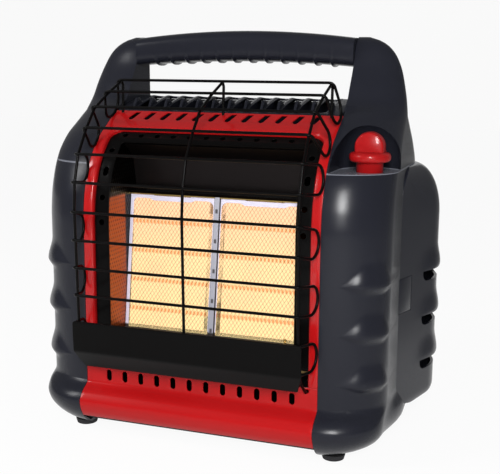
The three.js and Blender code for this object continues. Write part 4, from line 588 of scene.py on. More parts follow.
def glowing_tile(strength):
    """Perforated ceramic at red heat: yellow low down, pinker above, with four dotted rows of painted
    shade from the wires in front.
    """
    def build(graph):
        x, z = graph.axis("X"), graph.axis("Z")
        heat = graph.node("ShaderNodeValToRGB", {"stops": [
            (0.0, (1.0, 0.77, 0.36)), (0.55, (1.0, 0.74, 0.37)),
            (0.8, (1.0, 0.64, 0.36)), (1.0, (1.0, 0.6, 0.4)),
        ]}, {"Fac": tile_rise(z)})
        patch = graph.noise(22, 2)
        flushed = graph.blend(heat, (1.0, 0.57, 0.32), patch.between(0.45, 0.8) * 0.5)
        row = (tile_rows(z) - 0.5).size().between(0.4, 0.47)
        dots = ((x / 0.0043).fraction() - 0.5).size().between(0.12, 0.36)
        # Painted shade: dotted rows that darken the glow to deep red, for the wires in front of the
        # tiles.
        shaded_rows = row * (0.2 + 0.8 * dots)
        banded = graph.blend(flushed, (0.85, 0.2, 0.01), shaded_rows)
        pits = ((x / 0.0015).fraction() - 0.5).size().between(0.18, 0.34) * 0.5
        pits = pits + ((z / 0.0013).fraction() - 0.5).size().between(0.18, 0.34) * 0.5
        glow = graph.blend(graph.blend(banded, (1.0, 0.85, 0.45), 0.25), banded, pits)
        return {
            "Base Color": (0.25, 0.12, 0.06, 1),
            "Roughness": 0.85 + (patch - 0.5) * 0.1,
            "Emission Color": glow,
            "Emission Strength": strength,
            "Normal": graph.relief(pits, 0.0004, 0.5),
        }
    return surface("glowing_tile", build)


def tile_lit_rim():
    """The steel rim round the tiles and the dotted strip between them. Above the tiles' foot their
    pale colour and faint glow are painted light from the tiles, with painted shade at the strip's dots
    and edges; below the foot they are near black.
    """
    def build(graph):
        cloud = graph.noise(60, 3)
        x, z = graph.axis("X").size(), graph.axis("Z")
        strip = 1 - x.between(0.0033, 0.0036)
        off_row = (tile_rows(z) - 0.5).size().between(0.05, 0.09)
        dot = (1 - off_row) * (1 - x.between(0.0011, 0.0017))
        shaded = dot.maths("MAXIMUM", x.between(0.0024, 0.003)) * strip
        # Painted light: above the tiles' foot the rim's pale colour and its emission stand in for the
        # tiles' glow falling on it; the dots and strip edges are painted shade.
        bright = z.between(0.1125, 0.1145) * (1 - shaded * 0.85)
        pale = graph.blend((0.45, 0.43, 0.52), (0.56, 0.53, 0.63), cloud)
        lit = graph.blend(pale, (0.27, 0.27, 0.31), strip)
        return {
            "Base Color": graph.blend((0.02, 0.015, 0.014), lit, bright),
            "Metallic": 0.2,
            "Roughness": 0.5 + (cloud - 0.5) * 0.15,
            "Emission Color": graph.blend((0.0, 0.0, 0.0), lit, bright),
            "Emission Strength": 0.4,
        }
    return surface("tile_lit_rim", build)


def clamp_brass():
    """Bright brass along the bar's lower front edge, partly the bar's own brass and partly a painted
    highlight; near black everywhere else.
    """
    def build(graph):
        grain = graph.noise(1, 3, graph.stretched(900, 40, 40))
        # Painted highlight: the brass colour is kept to the narrow band where a highlight runs along
        # the bar.
        set_back = graph.axis("Y").between(-0.0496, -0.049)
        dark_part = set_back.maths("MAXIMUM", graph.axis("Z").between(0.2572, 0.2578))
        return {
            "Base Color": graph.blend((0.7, 0.48, 0.16), (0.008, 0.006, 0.005), dark_part),
            "Metallic": 1.0,
            "Roughness": 0.3 + (grain - 0.5) * 0.14,
            "Normal": graph.relief(grain, 0.00006, 0.5),
        }
    return surface("clamp_brass", build)


def perforated_reflector():
    def build(graph):
        y, z = graph.axis("Y"), graph.axis("Z")
        pitch = 0.0045
        row = (z / pitch).fraction()
        shifted = (y / pitch + (z / pitch).maths("FLOOR") * 0.5).fraction()
        spot = (row - 0.5) * (row - 0.5) + (shifted - 0.5) * (shifted - 0.5)
        dimple = 1 - spot.between(0.03, 0.12)
        cloud = graph.noise(30, 2)
        # Painted reflection: the orange dimpled colour, kept low and to the front, stands in for the
        # glowing tiles reflected in the side panels; elsewhere the reflector is near black.
        lit = (1 - z.between(0.256, 0.26)) * (1 - y.between(-0.065, -0.061))
        tinted = graph.blend((0.4, 0.09, 0.02), (0.13, 0.025, 0.008), dimple * 0.8)
        return {
            "Base Color": graph.blend((0.004, 0.003, 0.003), tinted, lit),
            "Metallic": 1.0,
            "Roughness": 0.3 + cloud * 0.12,
            "Normal": graph.relief(dimple, 0.0004, 0.6),
        }
    return surface("perforated_reflector", build)


finishes = {}


def mix_finishes(settings):
    colour = tuple(settings.housing_colour)
    red = tuple(settings.red_colour)
    finishes.update({
        "housing": navy_plastic(colour, 0.25),
        "bezel_red": enamel("red_enamel", red, 0.3, 0.5),
        "guard_black": enamel("black_enamel", (0.002, 0.0018, 0.0018), 0.34, 0.03, 0.00005, 0.05),
        "chassis_steel": sheet_metal("dark_sheet", (0.035, 0.033, 0.032), 0.45, soot=0.2),
        "reflector_steel": perforated_reflector(),
        "hood_black": sheet_metal("scorched_hood", (0.02, 0.017, 0.017), 0.45, (900, 60, 60)),
        "tile_ceramic": glowing_tile(settings.glow),
        "screen_steel": tile_lit_rim(),
        "mesh_wire": sheet_metal("mesh_wire", (0.26, 0.16, 0.07), 0.55, (400, 400, 400)),
        "clamp_brass": clamp_brass(),
        "valve_brass": sheet_metal("valve_brass", (0.66, 0.48, 0.2), 0.28, (60, 60, 600)),
        "regulator_grey": sheet_metal("cast_grey", (0.28, 0.28, 0.3), 0.5, (500, 500, 500)),
        "knob_red": enamel("red_moulding", tuple(settings.knob_colour), 0.35, 0.2, 0.00006),
        "foot_rubber": rubber_finish(),
        "dark_plastic": black_moulding(),
        "igniter_white": glazed_ceramic(),
        "pin_steel": sheet_metal("bright_steel", (0.6, 0.6, 0.62), 0.25, (300, 300, 300)),
    })


def dress_solids():
    """Gives every carried-over solid the finish of its slot."""
    for part in frame["record"]["subparts"]:
        solid = frame["nodes"][part["node"]]
        solid.data.materials.clear()
        solid.data.materials.append(finishes[part["material_slot"]])


# Settings


def setting(name, description, default, unit="LENGTH"):
    return bpy.props.FloatProperty(
        name=name, description=description, default=default, unit=unit)


def colour_choice(name, description, default):
    return bpy.props.FloatVectorProperty(
        name=name, description=description, subtype="COLOR", min=0, max=1, default=default)


# Side housings


def rib_rise(z, share, settings):
    faded = smooth((share - 0.7) / 0.3)
    weight = smooth((share - 0.17) / 0.33) * (1 - 0.75 * faded)
    if weight == 0:
        return 0
    rise = 0
    for crest in RIB_CRESTS:
        gap = z - crest
        reach = (settings.rib_reach if gap > 0 else settings.rib_undercut) * 1000 * weight
        rise += settings.rib_height * 1000 * weight * (1 - smooth(abs(gap) / reach))
    return rise


def pod_ring(z, inward, settings, ribbed, corner_steps=36, back_steps=14):
    """A housing's outline at a height, from the inner front edge round to the inner back edge."""
    front = front_at(z) + inward
    back = back_at(z) - inward
    side = side_at(z) - inward
    corner = min(CORNER, (back - front) / 2 - FIT)
    inner = POD_INNER - 4 if inward else POD_INNER
    ring = []
    for i in range(corner_steps + 1):
        share = i / corner_steps
        a = share * math.pi / 2
        rise = rib_rise(z, share, settings) if ribbed else 0
        x = inner + (side - inner + rise) * math.sin(a)
        ring.append((x, front + corner * (1 - math.cos(a)) - rise * math.cos(a), z))
    start, end = front + corner, back - corner
    seam = min(max(SEAM, start + FIT), (start + end) / 2)
    faded = smooth((z - SKIRT_FULL) / (SKIRT_GONE - SKIRT_FULL))
    flare = SKIRT_FLARE * (1 - faded) * smooth((z + 12) / 48)
    last = rib_rise(z, 1, settings) if ribbed else 0
    for t in (0.2, 0.4, 0.6, 0.8, 1):
        out = flare * smooth(t) + last * (1 - smooth(t))
        ring.append((side + out, start + (seam - start) * t, z))
    for t in (0.25, 0.5, 0.75):
        ring.append((side + flare * (1 - smooth(t)), seam + (end - seam) * t, z))
    for i in range(back_steps + 1):
        a = (1 - i / back_steps) * math.pi / 2
        ring.append((inner + (side - inner) * math.sin(a), back - corner * (1 - math.cos(a)), z))
    return ring


def pod_levels(low, high):
    offsets = (-11, -8, -6, -4, -2.5, -1.2, -0.4, 0, 0.4, 1.2, 2.5)
    fine = [crest + offset for crest in RIB_CRESTS for offset in offsets]
    levels = sorted([z for z in [*spread(low, high, 3.2), *fine] if low <= z <= high])
    kept = [levels[0]]
    for z in levels[1:]:
        if z - kept[-1] > 0.35:
            kept.append(z)
    kept[-1] = high
    return kept


def doorway(margin):
    """The side view of the door's opening, widened by a margin."""
    seam, top, low = SEAM - margin, DOOR_TOP + FIT + margin, DOOR_FOOT - FIT - margin
    corner = 33
    arc = [(seam + corner * (1 - math.sin(a)), top - corner * (1 - math.cos(a)))
           for a in np.linspace(0, math.pi / 2, 16)]
    sill = [(seam + 58 * t, low + 15 * (1 - t) ** 2) for t in np.linspace(0, 1, 13)]
    return [*sill, (286, low), (286, top), *arc]


def knob_niche():
    """The bullet-shaped recess behind the knob, open to the front."""
    radius, straight, dome = 33, 8, 43
    x, depth = KNOB[0], 96

    def vault(end, steps):
        turned_by = [i / steps * end for i in range(steps + 1)]
        return [(radius * math.cos(a), LEDGE + straight + dome * math.sin(a)) for a in turned_by]

    bullet = turned([(0, LEDGE), (radius, LEDGE), *vault(math.pi / 2, 24)], x, depth, 72)
    arch = [(-radius, LEDGE), (radius, LEDGE), *vault(math.pi, 32)]
    return [bullet, prism([(x + u, z) for u, z in arch], "y", -4, depth)]


class HEATER_PG_housing(bpy.types.PropertyGroup):
    housing_colour: colour_choice("Housing", "Colour of its plastic", (0.0088, 0.0094, 0.014))
    red_colour: colour_choice("Red enamel", "Colour of the front", (0.37, 0.005, 0.006))
    knob_colour: colour_choice("Knob", "Colour of the knob", (0.31, 0.005, 0.006))
    glow: bpy.props.FloatProperty(
        name="Glow", description="Strength of the tiles' glow", default=1.0, min=0, max=5)
    rib_height: setting("Rib height", "How far the finger ribs stand out", 0.005)
    rib_reach: setting("Rib reach", "Height over which a rib runs out above", 0.024)
    rib_undercut: setting("Rib undercut", "Height over which a rib runs out below", 0.011)


class HEATER_OT_finishes(bpy.types.Operator):
    """Mix the finishes and give every solid its own"""

    bl_idname = "heater.finishes"
    bl_label = "Finishes"

    def execute(self, context):
        mix_finishes(context.scene.heater_housing)
        dress_solids()
        return {"FINISHED"}


class HEATER_OT_pods(bpy.types.Operator):
    """Build the two side housings with their arms, finger ribs and knob recess"""

    bl_idname = "heater.pods"
    bl_label = "Side housings"

    def execute(self, context):
        settings = context.scene.heater_housing
        outer = loft([pod_ring(z, 0, settings, True) for z in pod_levels(POD_FOOT, HEIGHT)])
        strip = []
        for z in pod_levels(DOOR_TOP, HEIGHT):
            front, back = max(front_at(z), SEAM), back_at(z)
            x0, x1 = DECK_HALF, POD_INNER + FIT
            strip.append([(x0, front, z), (x1, front, z), (x1, back, z), (x0, back, z)])
        shell = combine(combine(outer, [loft(strip)], "UNION"), self.rooms(settings))
        screws = [rod((FOOT_X, y, -1), (FOOT_X, y, 12.3), 3.3) for y in FOOT_DEPTHS.values()]
        pocket = block((188.4, 196), (SEAM + FIT - 3, SEAM + FIT), LATCH_HEIGHTS)
        shell = combine(shell, [*screws, pocket])
        left = mirrored(shell)
        neck = rod((*KNOB, 286), (*KNOB, 297), 14.5, 48)
        tube = rod((156, 125, 250), (156, 136, 250), 4.6)
        right = combine(shell, [*knob_niche(), neck, tube])
        present("right_side_housing", right, "housing", ["right_pod"])
        present("left_side_housing", left, "housing", ["left_pod"])
        return {"FINISHED"}

    def rooms(self, settings):
        """The hollows of a housing: behind its front, in the bay and over the bay."""
        levels = spread(9, LEDGE - WALL, 6)
        inner = loft([pod_ring(z, WALL, settings, False, 24, 8) for z in levels])
        front_half = block(ALL_ACROSS, (-4, SEAM - WALL), (0, HEIGHT))
        under_bay = block(ALL_ACROSS, (SEAM - WALL - 1, PAST_BACK), (-1, DOOR_FOOT - FIT - WALL))
        front_room = combine(inner, [combine(front_half, [under_bay], "UNION")], "INTERSECT")
        levels = spread(DOOR_TOP - 4, 343, 5)
        shoulder = loft([pod_ring(z, WALL * 1.5, settings, False, 24, 8) for z in levels])
        behind_seam = block((POD_INNER, PAST_SIDE), (SEAM + WALL, PAST_BACK), (0, HEIGHT))
        over_bay = combine(shoulder, [behind_seam], "INTERSECT")
        bay_roof = block((0, 186), (SEAM, 282), (BAY_TOP, DOOR_TOP + FIT))
        return [front_room, prism(doorway(0), "x", 0, PAST_SIDE), bay_roof, over_bay]


# Bay doors


def door_circle(z):
    """At a height: the door's seam point, its round part's centre and radius, the skin's heading."""
    rise = max((z - BAY_TOP) / (DOOR_TOP - BAY_TOP), 0)
    swell = math.sqrt(max(1 - rise * rise, 0))
    up = min((z - DOOR_FOOT) / 12, 1)
    tuck = 6 * (1 - math.sqrt(max(1 - (1 - up) ** 2, 0)))
    cx, cy = 141 + 20 * swell, 196 + 26 * swell
    radius = 49.5 + 6.5 * swell - tuck
    x, y = side_at(z), SEAM + FIT
    dx, dy = cx - x, cy - y
    heading = math.atan2(dy, dx) - math.asin(radius / math.hypot(dx, dy))
    return x, y, cx, cy, radius, heading


def door_ring(z, settings, steps=44):
    x, y, cx, cy, radius, heading = door_circle(z)
    start = heading - math.pi / 2
    rise = 0.65 * rib_rise(z + RIB_DROP, 0.5, settings)
    run = math.sqrt((cx - x) ** 2 + (cy - y) ** 2 - radius**2)

    def line(inward):
        points = []
        for share in (0, 0.2, 0.4, 0.6, 0.7, 0.8, 0.9):
            along, out = run * share, (0 if inward else rise * smooth((share - 0.6) / 0.4)) - inward
            points.append((x + along * math.cos(heading) + out * math.cos(start),
                           y + along * math.sin(heading) + out * math.sin(start), z))
        for i in range(steps + 1):
            turn = i / steps
            a = start + (math.pi / 2 - start) * turn
            r = radius - inward + (0 if inward else rise * smooth((1 - turn) / 0.35))
            points.append((cx + r * math.cos(a), cy + r * math.sin(a), z))
        points.append((119, cy + radius - inward, z))
        return points

    return [*line(0), *line(3)[::-1]]


def on_door(along, outward):
    """A plan-view place measured from the door's seam, along its flat part and out from it."""
    x, y, *_, heading = door_circle(157)
    c, s = math.cos(heading), math.sin(heading)
    return (x + along * c + outward * s, y + along * s - outward * c)


def door_strip(start, end, inner, outer):
    return [on_door(start, inner), on_door(end, inner), on_door(end, outer), on_door(start, outer)]


def scoop(near, far, top, height, corner):
    """A slot in side view with a straight top edge and two rounded lower corners."""
    def turn(x0, x1, shares):
        return [(x0 + (x1 - x0) * t * t, top - height * (1 - (1 - t) ** 2)) for t in shares]
    shares = np.linspace(0, 1, 9)
    return [*turn(near, near + corner, shares), *turn(far, far - corner, shares)[::-1]]


HINGE_HEIGHTS = ((34, 56), (208, 230))
VENT_DEPTHS, VENT_DROP, VENT_HEIGHT, VENT_CORNER = (184, 256), 3.5, 12, 14


class HEATER_OT_doors(bpy.types.Operator):
    """Build the bulged bay doors with their vents and their latches"""

    bl_idname = "heater.doors"
    bl_label = "Bay doors and latches"

    def execute(self, context):
        settings = context.scene.heater_housing
        quarter, rise = math.pi / 2, DOOR_TOP - BAY_TOP
        foot = [DOOR_FOOT + 12 * (1 - math.cos(a)) for a in np.linspace(0.05, quarter, 7)]
        dome = [BAY_TOP + rise * math.sin(a) for a in np.linspace(0, quarter, 30)]
        levels = sorted([DOOR_FOOT, *foot, *pod_levels(30, 233), *dome])
        skin = loft([door_ring(z, settings) for z in levels])
        skin = combine(skin, [prism(doorway(-FIT), "x", 0, PAST_SIDE)], "INTERSECT")
        pad = prism(door_strip(0, 31, -6, -1.5), "z", 134, 180)
        knuckles = []
        for low, high in HINGE_HEIGHTS:
            knuckles.append(rod((*DOOR_PIN, low), (*DOOR_PIN, high), 4.5, 32))
            knuckles.append(block((DOOR_PIN[0], 122), (275, 282), (low, high)))
        door = combine(skin, [pad, *knuckles], "UNION")
        vents = []
        for crest in RIB_CRESTS:
            slot = scoop(*VENT_DEPTHS, crest - RIB_DROP - VENT_DROP, VENT_HEIGHT, VENT_CORNER)
            vents.append(prism(slot, "x", 180, 242))
        bore = rod((*DOOR_PIN, 0), (*DOOR_PIN, DOOR_TOP), 2.3)
        recess = prism(door_strip(-4, 27.6, -3, 8), "z", *LATCH_HEIGHTS)
        pin = on_door(25, -1.6)
        pin_hole = rod((*pin, 135.7), (*pin, 178.3), 1.1, 12)
        door = combine(door, [*vents, bore, recess, pin_hole])
        present("right_bay_door", door, "housing", ["right_door"], body="door_right")
        present("left_bay_door", mirrored(door), "housing", ["left_door"], body="door_left")
        tab = soften(prism(door_strip(-1.8, 27, -2.4, 0), "z", 138, 176), 0.5)
        hinge = rod((*pin, 136), (*pin, 178), 0.8, 12)
        tab = combine(tab, [hinge], "UNION")
        present("right_latch_tab", tab, "housing", ["right_latch"], body="latch_right")
        present("left_latch_tab", mirrored(tab), "housing", ["left_latch"], body="latch_left")
        return {"FINISHED"}


# Red front and the steel frame behind it


def closer(line, step):
    """The same open line with points no further apart than the step."""
    dense = [line[0]]
    for (u0, v0), (u1, v1) in zip(line, line[1:]):
        du, dv = u1 - u0, v1 - v0
        count = max(1, math.ceil(math.hypot(du, dv) / step))
        dense += [(u0 + du * k / count, v0 + dv * k / count) for k in range(1, count + 1)]
    return dense


class HEATER_OT_front(bpy.types.Operator):
    """Build the red front, the slotted lower panel and the black frame round the opening"""

    bl_idname = "heater.front"
    bl_label = "Red front"

    def execute(self, context):
        self.upper()
        self.lower()
        self.opening_frame()
        return {"FINISHED"}

    def upper(self):
        bend = front_bend(79, BEZEL_TOP)
        top = bend.at_height(OPENING_TOP)

        def opening(wider):
            side, high, corner = OPENING_HALF + wider, top + wider, OPENING_CORNER + wider
            corners = [(-side, 0), (-side, high), (side, high), (side, 0)]
            return rounded_loop(corners, [0, corner, corner, 0], 12)

        outer = [(-PANEL_HALF, 0), *opening(OPENING_ROLL), (PANEL_HALF, 0),
                 (PANEL_HALF, bend.length), (-PANEL_HALF, bend.length)]
        slots = []
        half_width, half_length, middle_depth, last_depth = 3.3, 8.4, 113, 117.4
        slant = 0.44
        s, c = math.sin(slant), math.cos(slant)
        upright = stadium(0, 0, half_width, half_length)
        slanted = [(u * c + v * s, min(middle_depth + v * c - u * s, last_depth)) for u, v in upright]
        for x in SLOT_PLACES:
            slots.append([(x + u, bend.at_depth(y)) for u, y in slanted])
        sheet = bent_sheet(bend, [outer, *slots], 0, SHEET)

        roll, quarter = OPENING_ROLL, math.pi / 2

        def rolled(radius, turns):
            return [(roll - radius * math.sin(a), roll - radius * math.cos(a)) for a in turns]

        seam, lip_depth, inner_roll = roll + 0.5, 6, roll - 1.4
        profile = [(seam, 0.15), *rolled(roll, np.linspace(0.1, quarter, 8))]
        profile += [(0, lip_depth), (roll - inner_roll, lip_depth)]
        profile += [*rolled(inner_roll, np.linspace(quarter, 0, 5)), (seam, 1.3)]
        lip = []
        ring = closer(opening(0), 3)
        for i, (u, v) in enumerate(ring):
            before, after = Vector(ring[max(i - 1, 0)]), Vector(ring[min(i + 1, len(ring) - 1)])
            du, dv = (after - before).normalized()
            lip.append([bend.place(u - dv * out, v + du * out, deep) for out, deep in profile])
        present("red_front", sheet, "bezel_red", ["front_bezel"], sharp=40)
        present("red_front_lip", loft(lip), "bezel_red", sharp=40)

    def lower(self):
        bend = front_bend(20, 78.7)
        half_width, half_length, middle = 2.9, 6.2, bend.at_height(65)
        slots = [stadium(x, middle, half_width, half_length) for x in SLOT_PLACES]
        hooks = [circle(x, bend.at_height(HOOK_HEIGHT), 2.2) for x in (-UPRIGHT_X, UPRIGHT_X)]
        outer = oblong(PANEL_HALF, bend.length)
        sheet = bent_sheet(bend, [outer, *slots, *hooks], 0, SHEET, step=1.5)
        near, far = front_at(20) + FIT, front_at(20) + 12
        fold = block((-PANEL_HALF, PANEL_HALF), (near, far), (20, 20 + SHEET))
        flange = soften(fold, 0.4)
        present("lower_front", sheet, "bezel_red", ["lower_panel"], sharp=40)
        present("lower_front_flange", flange, "bezel_red")

    def opening_frame(self):
        bend = Bend(behind([(front_at(z), z) for z in spread(95, OPENING_TOP - FIT, 1.5)], 5))
        top, side, within = bend.at_height(314.5), FRAME_HALF, FRAME_OPENING
        corners = [(-within, 0), (-within, top), (within, top), (within, 0)]
        gate = rounded_loop(corners, [0, 4, 4, 0])
        outer = [(-side, 0), *gate, (side, 0), (side, bend.length), (-side, bend.length)]
        holes = []
        for x in (-111.1, 111.1):
            holes += [circle(x, bend.at_height(z), 3) for z in (232, 258, 306)]
            holes.append(stadium(x, bend.at_height(285), 3, 5))
        holes += [circle(x, bend.at_height(321), 3) for x in SLOT_PLACES]
        sheet = bent_sheet(bend, [outer, *holes], 0, 1, edge=0.25)
        present("opening_frame", sheet, "guard_black", ["inner_frame"], sharp=40)


# Wires


def wire_tree(name, sides):
    """A node tree that rounds wires at their corners, by the bend attribute, and thickens them."""
    tree = bpy.data.node_groups.new(name, "GeometryNodeTree")
    sockets = [
        ("Wires", "INPUT", "Geometry"), ("Wire Radius", "INPUT", "Float"),
        ("Corner Steps", "INPUT", "Int"), ("Finish", "INPUT", "Material"),
        ("Solid", "OUTPUT", "Geometry"),
    ]
    for title, side, kind in sockets:
        tree.interface.new_socket(title, in_out=side, socket_type=f"NodeSocket{kind}")
    graph = Graph(tree)
    entry = tree.nodes.new("NodeGroupInput")
    sent = {socket.name: Link(graph, socket) for socket in entry.outputs}
    bend = graph.node("GeometryNodeInputNamedAttribute", {"data_type": "FLOAT"}, {"Name": "bend"})
    curve = graph.node("GeometryNodeMeshToCurve", None, {"Mesh": sent["Wires"]})
    rounded = graph.node("GeometryNodeFilletCurve", {"mode": "POLY"}, {
        "Curve": curve, "Count": sent["Corner Steps"], "Radius": bend, "Limit Radius": True})
    size = {"Resolution": sides, "Radius": sent["Wire Radius"]}
    profile = graph.node("GeometryNodeCurvePrimitiveCircle", None, size)
    feeds = {"Curve": rounded, "Profile Curve": profile, "Fill Caps": True}
    swept = graph.node("GeometryNodeCurveToMesh", None, feeds)
    real = graph.node("GeometryNodeRealizeInstances", None, {"Geometry": swept})
    dress = {"Geometry": real, "Material": sent["Finish"]}
    dressed = graph.node("GeometryNodeSetMaterial", None, dress)
    graph.node("NodeGroupOutput", None, {"Solid": dressed})
    return tree


def swept_wires(lines, radius, sides, corner_steps, material):
    """A mesh of wires along lines of (x, depth, height, bend radius), each open or closed."""
    corners, edges, bends = [], [], []
    for points, closed in lines:
        start = len(corners)
        corners += [metres(x, y, z) for x, y, z, _ in points]
        bends += [bend / 1000 for *_, bend in points]
        edges += [(start + i, start + i + 1) for i in range(len(points) - 1)]
        if closed:
            edges.append((start + len(points) - 1, start))
    mesh = bpy.data.meshes.new("work")
    mesh.from_pydata(corners, edges, [])
    mesh.attributes.new("bend", "FLOAT", "POINT").data.foreach_set("value", bends)
    holder = placed(mesh)
    step = holder.modifiers.new("work", "NODES")
    step.node_group = wire_tree("wires", sides)
    values = {"Wire Radius": radius / 1000, "Corner Steps": corner_steps, "Finish": material}
    for item in step.node_group.interface.items_tree:
        if item.name in values:
            step[item.identifier] = values[item.name]
    return face_outward(outcome(holder))


CROSS_WIRES = [
    (0, 0.042), (0.105, 0.032), (0.2115, 0.024), (0.317, 0.016), (0.4215, 0.008), (0.528, 0),
    (0.636, 0.023), (0.7375, 0.102), (0.83, 0.269), (0.904, 0.444), (0.958, 0.722), (1, 1),
]
LOOP_TIPS = [0.038, 0.246, 0.443, 0.668, 0.768, 0.862]
LOWEST, HIGHEST = 103, 379.6
WIRE_HALF, LOOP_REACH = 122, 129


def guard_height(share):
    return LOWEST + share * (HIGHEST - LOWEST)


def guard_wires():
    return [(y * 108, guard_height(z)) for z, y in CROSS_WIRES]


def resting_depth(z):
    """Where a wire's middle is when it rests on the red front."""
    lean = (front_at(z + 4) - front_at(z - 4)) / 8
    return front_at(z) - 1.8 * math.hypot(1, lean)


def behind(path, distance):
    """The side-view line moved back, square to itself."""
    moved = []
    for i, (y, z) in enumerate(path):
        y0, z0 = path[max(i - 1, 0)]
        y1, z1 = path[min(i + 1, len(path) - 1)]
        run = math.hypot(y1 - y0, z1 - z0)
        moved.append((y + distance * (z1 - z0) / run, z - distance * (y1 - y0) / run))
    return moved


class HEATER_PG_guard(bpy.types.PropertyGroup):
    wire_radius: setting("Wire radius", "Half the thickness of the guard's wires", 0.0015)
    loop_bend: setting("Loop bend", "Bend radius at the back of each loop", 0.014)


class HEATER_OT_guard(bpy.types.Operator):
    """Build the wire guard and the plate over its foot"""

    bl_idname = "heater.guard"
    bl_label = "Wire guard"

    def execute(self, context):
        settings = context.scene.heater_guard
        radius = settings.wire_radius * 1000
        wires = guard_wires()
        lines = []
        for i, share in enumerate(LOOP_TIPS):
            lower, upper = wires[2 * i], wires[2 * i + 1]
            tip_z = guard_height(share)
            back = resting_depth(tip_z) - (lower[0] + upper[0]) / 2
            drop = tip_z - (lower[1] + upper[1]) / 2
            bend = min(settings.loop_bend * 1000, 0.48 * math.dist(lower, upper))
            tips = [(LOOP_REACH, y + back, z + drop, bend) for y, z in (lower, upper)]
            path = [(WIRE_HALF, *lower, 6), *tips, (WIRE_HALF, *upper, 6)]
            lines.append(([*path, *[(-x, *rest) for x, *rest in path[::-1]]], True))
        stem = behind(wires, 2 * radius - 0.5)
        leg = (front_at(343.7) - radius, 344)
        over = [(stem[-1][0] + radius, HIGHEST + radius), (leg[0] + radius, 374), leg]
        for x in (-UPRIGHT_X, 0, UPRIGHT_X):
            hook = [(46, HOOK_HEIGHT), (36, HOOK_HEIGHT), (20, 88)] if x else []
            line = [*hook, *stem, *over]
            lines.append(([(x, y, z, 4) for y, z in line], False))
        mesh = swept_wires(lines, radius, 14, 7, finishes["guard_black"])
        present("guard_wires", mesh, "guard_black", ["wire_guard"], sharp=60)

        (wire_y, wire_z), (next_y, next_z) = wires[0], wires[1]
        slope = (next_y - wire_y) / (next_z - wire_z)

        def face(z):
            return (wire_y - 1.8 + slope * (z - wire_z), z)

        crease_height, foot_half, half = 102, 117, 124
        path = rounded_loop([(15, 83), face(crease_height), face(134)], [0, 7, 0], 14)
        bend = Bend(spreadline(path))
        crease, end = bend.at_height(crease_height), bend.length
        corners = [(-foot_half, 0), (foot_half, 0), (half, crease)]
        corners += [(half, end), (-half, end), (-half, crease)]
        outline = rounded_loop(corners, [2, 2, 0, 3, 3, 0])
        sheet = bent_sheet(bend, [outline], -1.2, 0, edge=0.3, step=1.5)
        present("foot_plate", sheet, "guard_black", ["guard_plate"], sharp=40)
        return {"FINISHED"}


def spreadline(path):
    """The same line with closer points."""
    dense = []
    for (y0, z0), (y1, z1) in zip(path, path[1:]):
        for t in np.linspace(0, 1, 6, endpoint=False):
            dense.append((y0 + (y1 - y0) * t, z0 + (z1 - z0) * t))
    return [*dense, path[-1]]


# Grip and deck


class HEATER_PG_grip(bpy.types.PropertyGroup):
    rib_depth: setting("Finger rib depth", "How far the ribs under the grip stand out", 0.0021)
    rib_width: setting("Finger rib width", "Width of each rib under the grip", 0.004)


def grip_ring(x, settings, steps=56):
    half = DECK_HALF - FIT
    rise = 1 - (x / half) ** 2
    top, bottom = 426 + 8 * rise, 395 + 5.5 * rise
    middle, tall = (top + bottom) / 2, (top - bottom) / 2
    near = min(abs(x - place) for place in SLOT_PLACES) / (settings.rib_width * 500)
    bump = settings.rib_depth * 1000 * max(0, math.cos(min(1, near) * math.pi / 2)) ** 0.8
    thickness, middle_depth, square = 19.5, 184.5, 0.65
    ring = []
    for a in turns(steps):
        c, s = math.cos(a), math.sin(a)
        y = math.copysign(abs(c) ** square, c) * thickness
        z = math.copysign(abs(s) ** square, s) * tall
        raised = bump * smooth((0.3 - s) / 0.5)
        forward, down = 0.12 * raised * max(-c, 0), raised * max(-s, 0)
        ring.append((x, middle_depth + y - forward, middle + z - down))
    return ring


class HEATER_OT_handle(bpy.types.Operator):
    """Build the carrying grip with its finger ribs and the slotted deck under it"""

    bl_idname = "heater.handle"
    bl_label = "Grip and deck"

    def execute(self, context):
        half = DECK_HALF - FIT
        settings = context.scene.heater_grip
        grip = loft([grip_ring(x, settings) for x in spread(-half, half, 0.9)])
        present("carrying_grip", grip, "housing", ["handle_grip"], sharp=50)

        front = (front_at(BEZEL_TOP) + 2 * FIT, BEZEL_TOP + FIT)
        points = [front, (150, 355), (180, 361), DECK_BACK]
        bend = Bend(spreadline(rounded_loop(points, [0, 20, 12, 0], 8)))
        holes = []
        half_width, half_length, middle_depth = 6.5, 33.5, 159.5
        for x in SLOT_PLACES:
            loop = stadium(x, middle_depth, half_width, half_length)
            holes.append([(u, bend.at_depth(v)) for u, v in loop])
        sheet = bent_sheet(bend, [oblong(half, bend.length), *holes], 0, 2, edge=0.4, step=3)
        present("slotted_deck", sheet, "housing", ["top_grille"], sharp=40)
        line, low_rise, tip_rise = [], 0.3, 7.6
        for along in spread(0.6, bend.length - 0.6, 2):
            depth = bend.place(0, along, 0)[1]
            crest = smooth((depth - 126) / 12) * (1 - smooth((depth - 140) / 9))
            line.append((along, low_rise + tip_rise * crest))
        upper = [bend.place(0, along, -rise)[1:] for along, rise in line]
        lower = [bend.place(0, along, 1)[1:] for along, _ in line]
        count, rib_half = len(SLOT_PLACES) + 1, 1.5
        for i in range(count):
            x = (i - (count - 1) / 2) * SLOT_PITCH
            rib = soften(prism([*upper, *lower[::-1]], "x", x - rib_half, x + rib_half), 1, 50)
            present(f"deck_rib_{i + 1}", rib, "housing", sharp=50)
        return {"FINISHED"}


# Knob


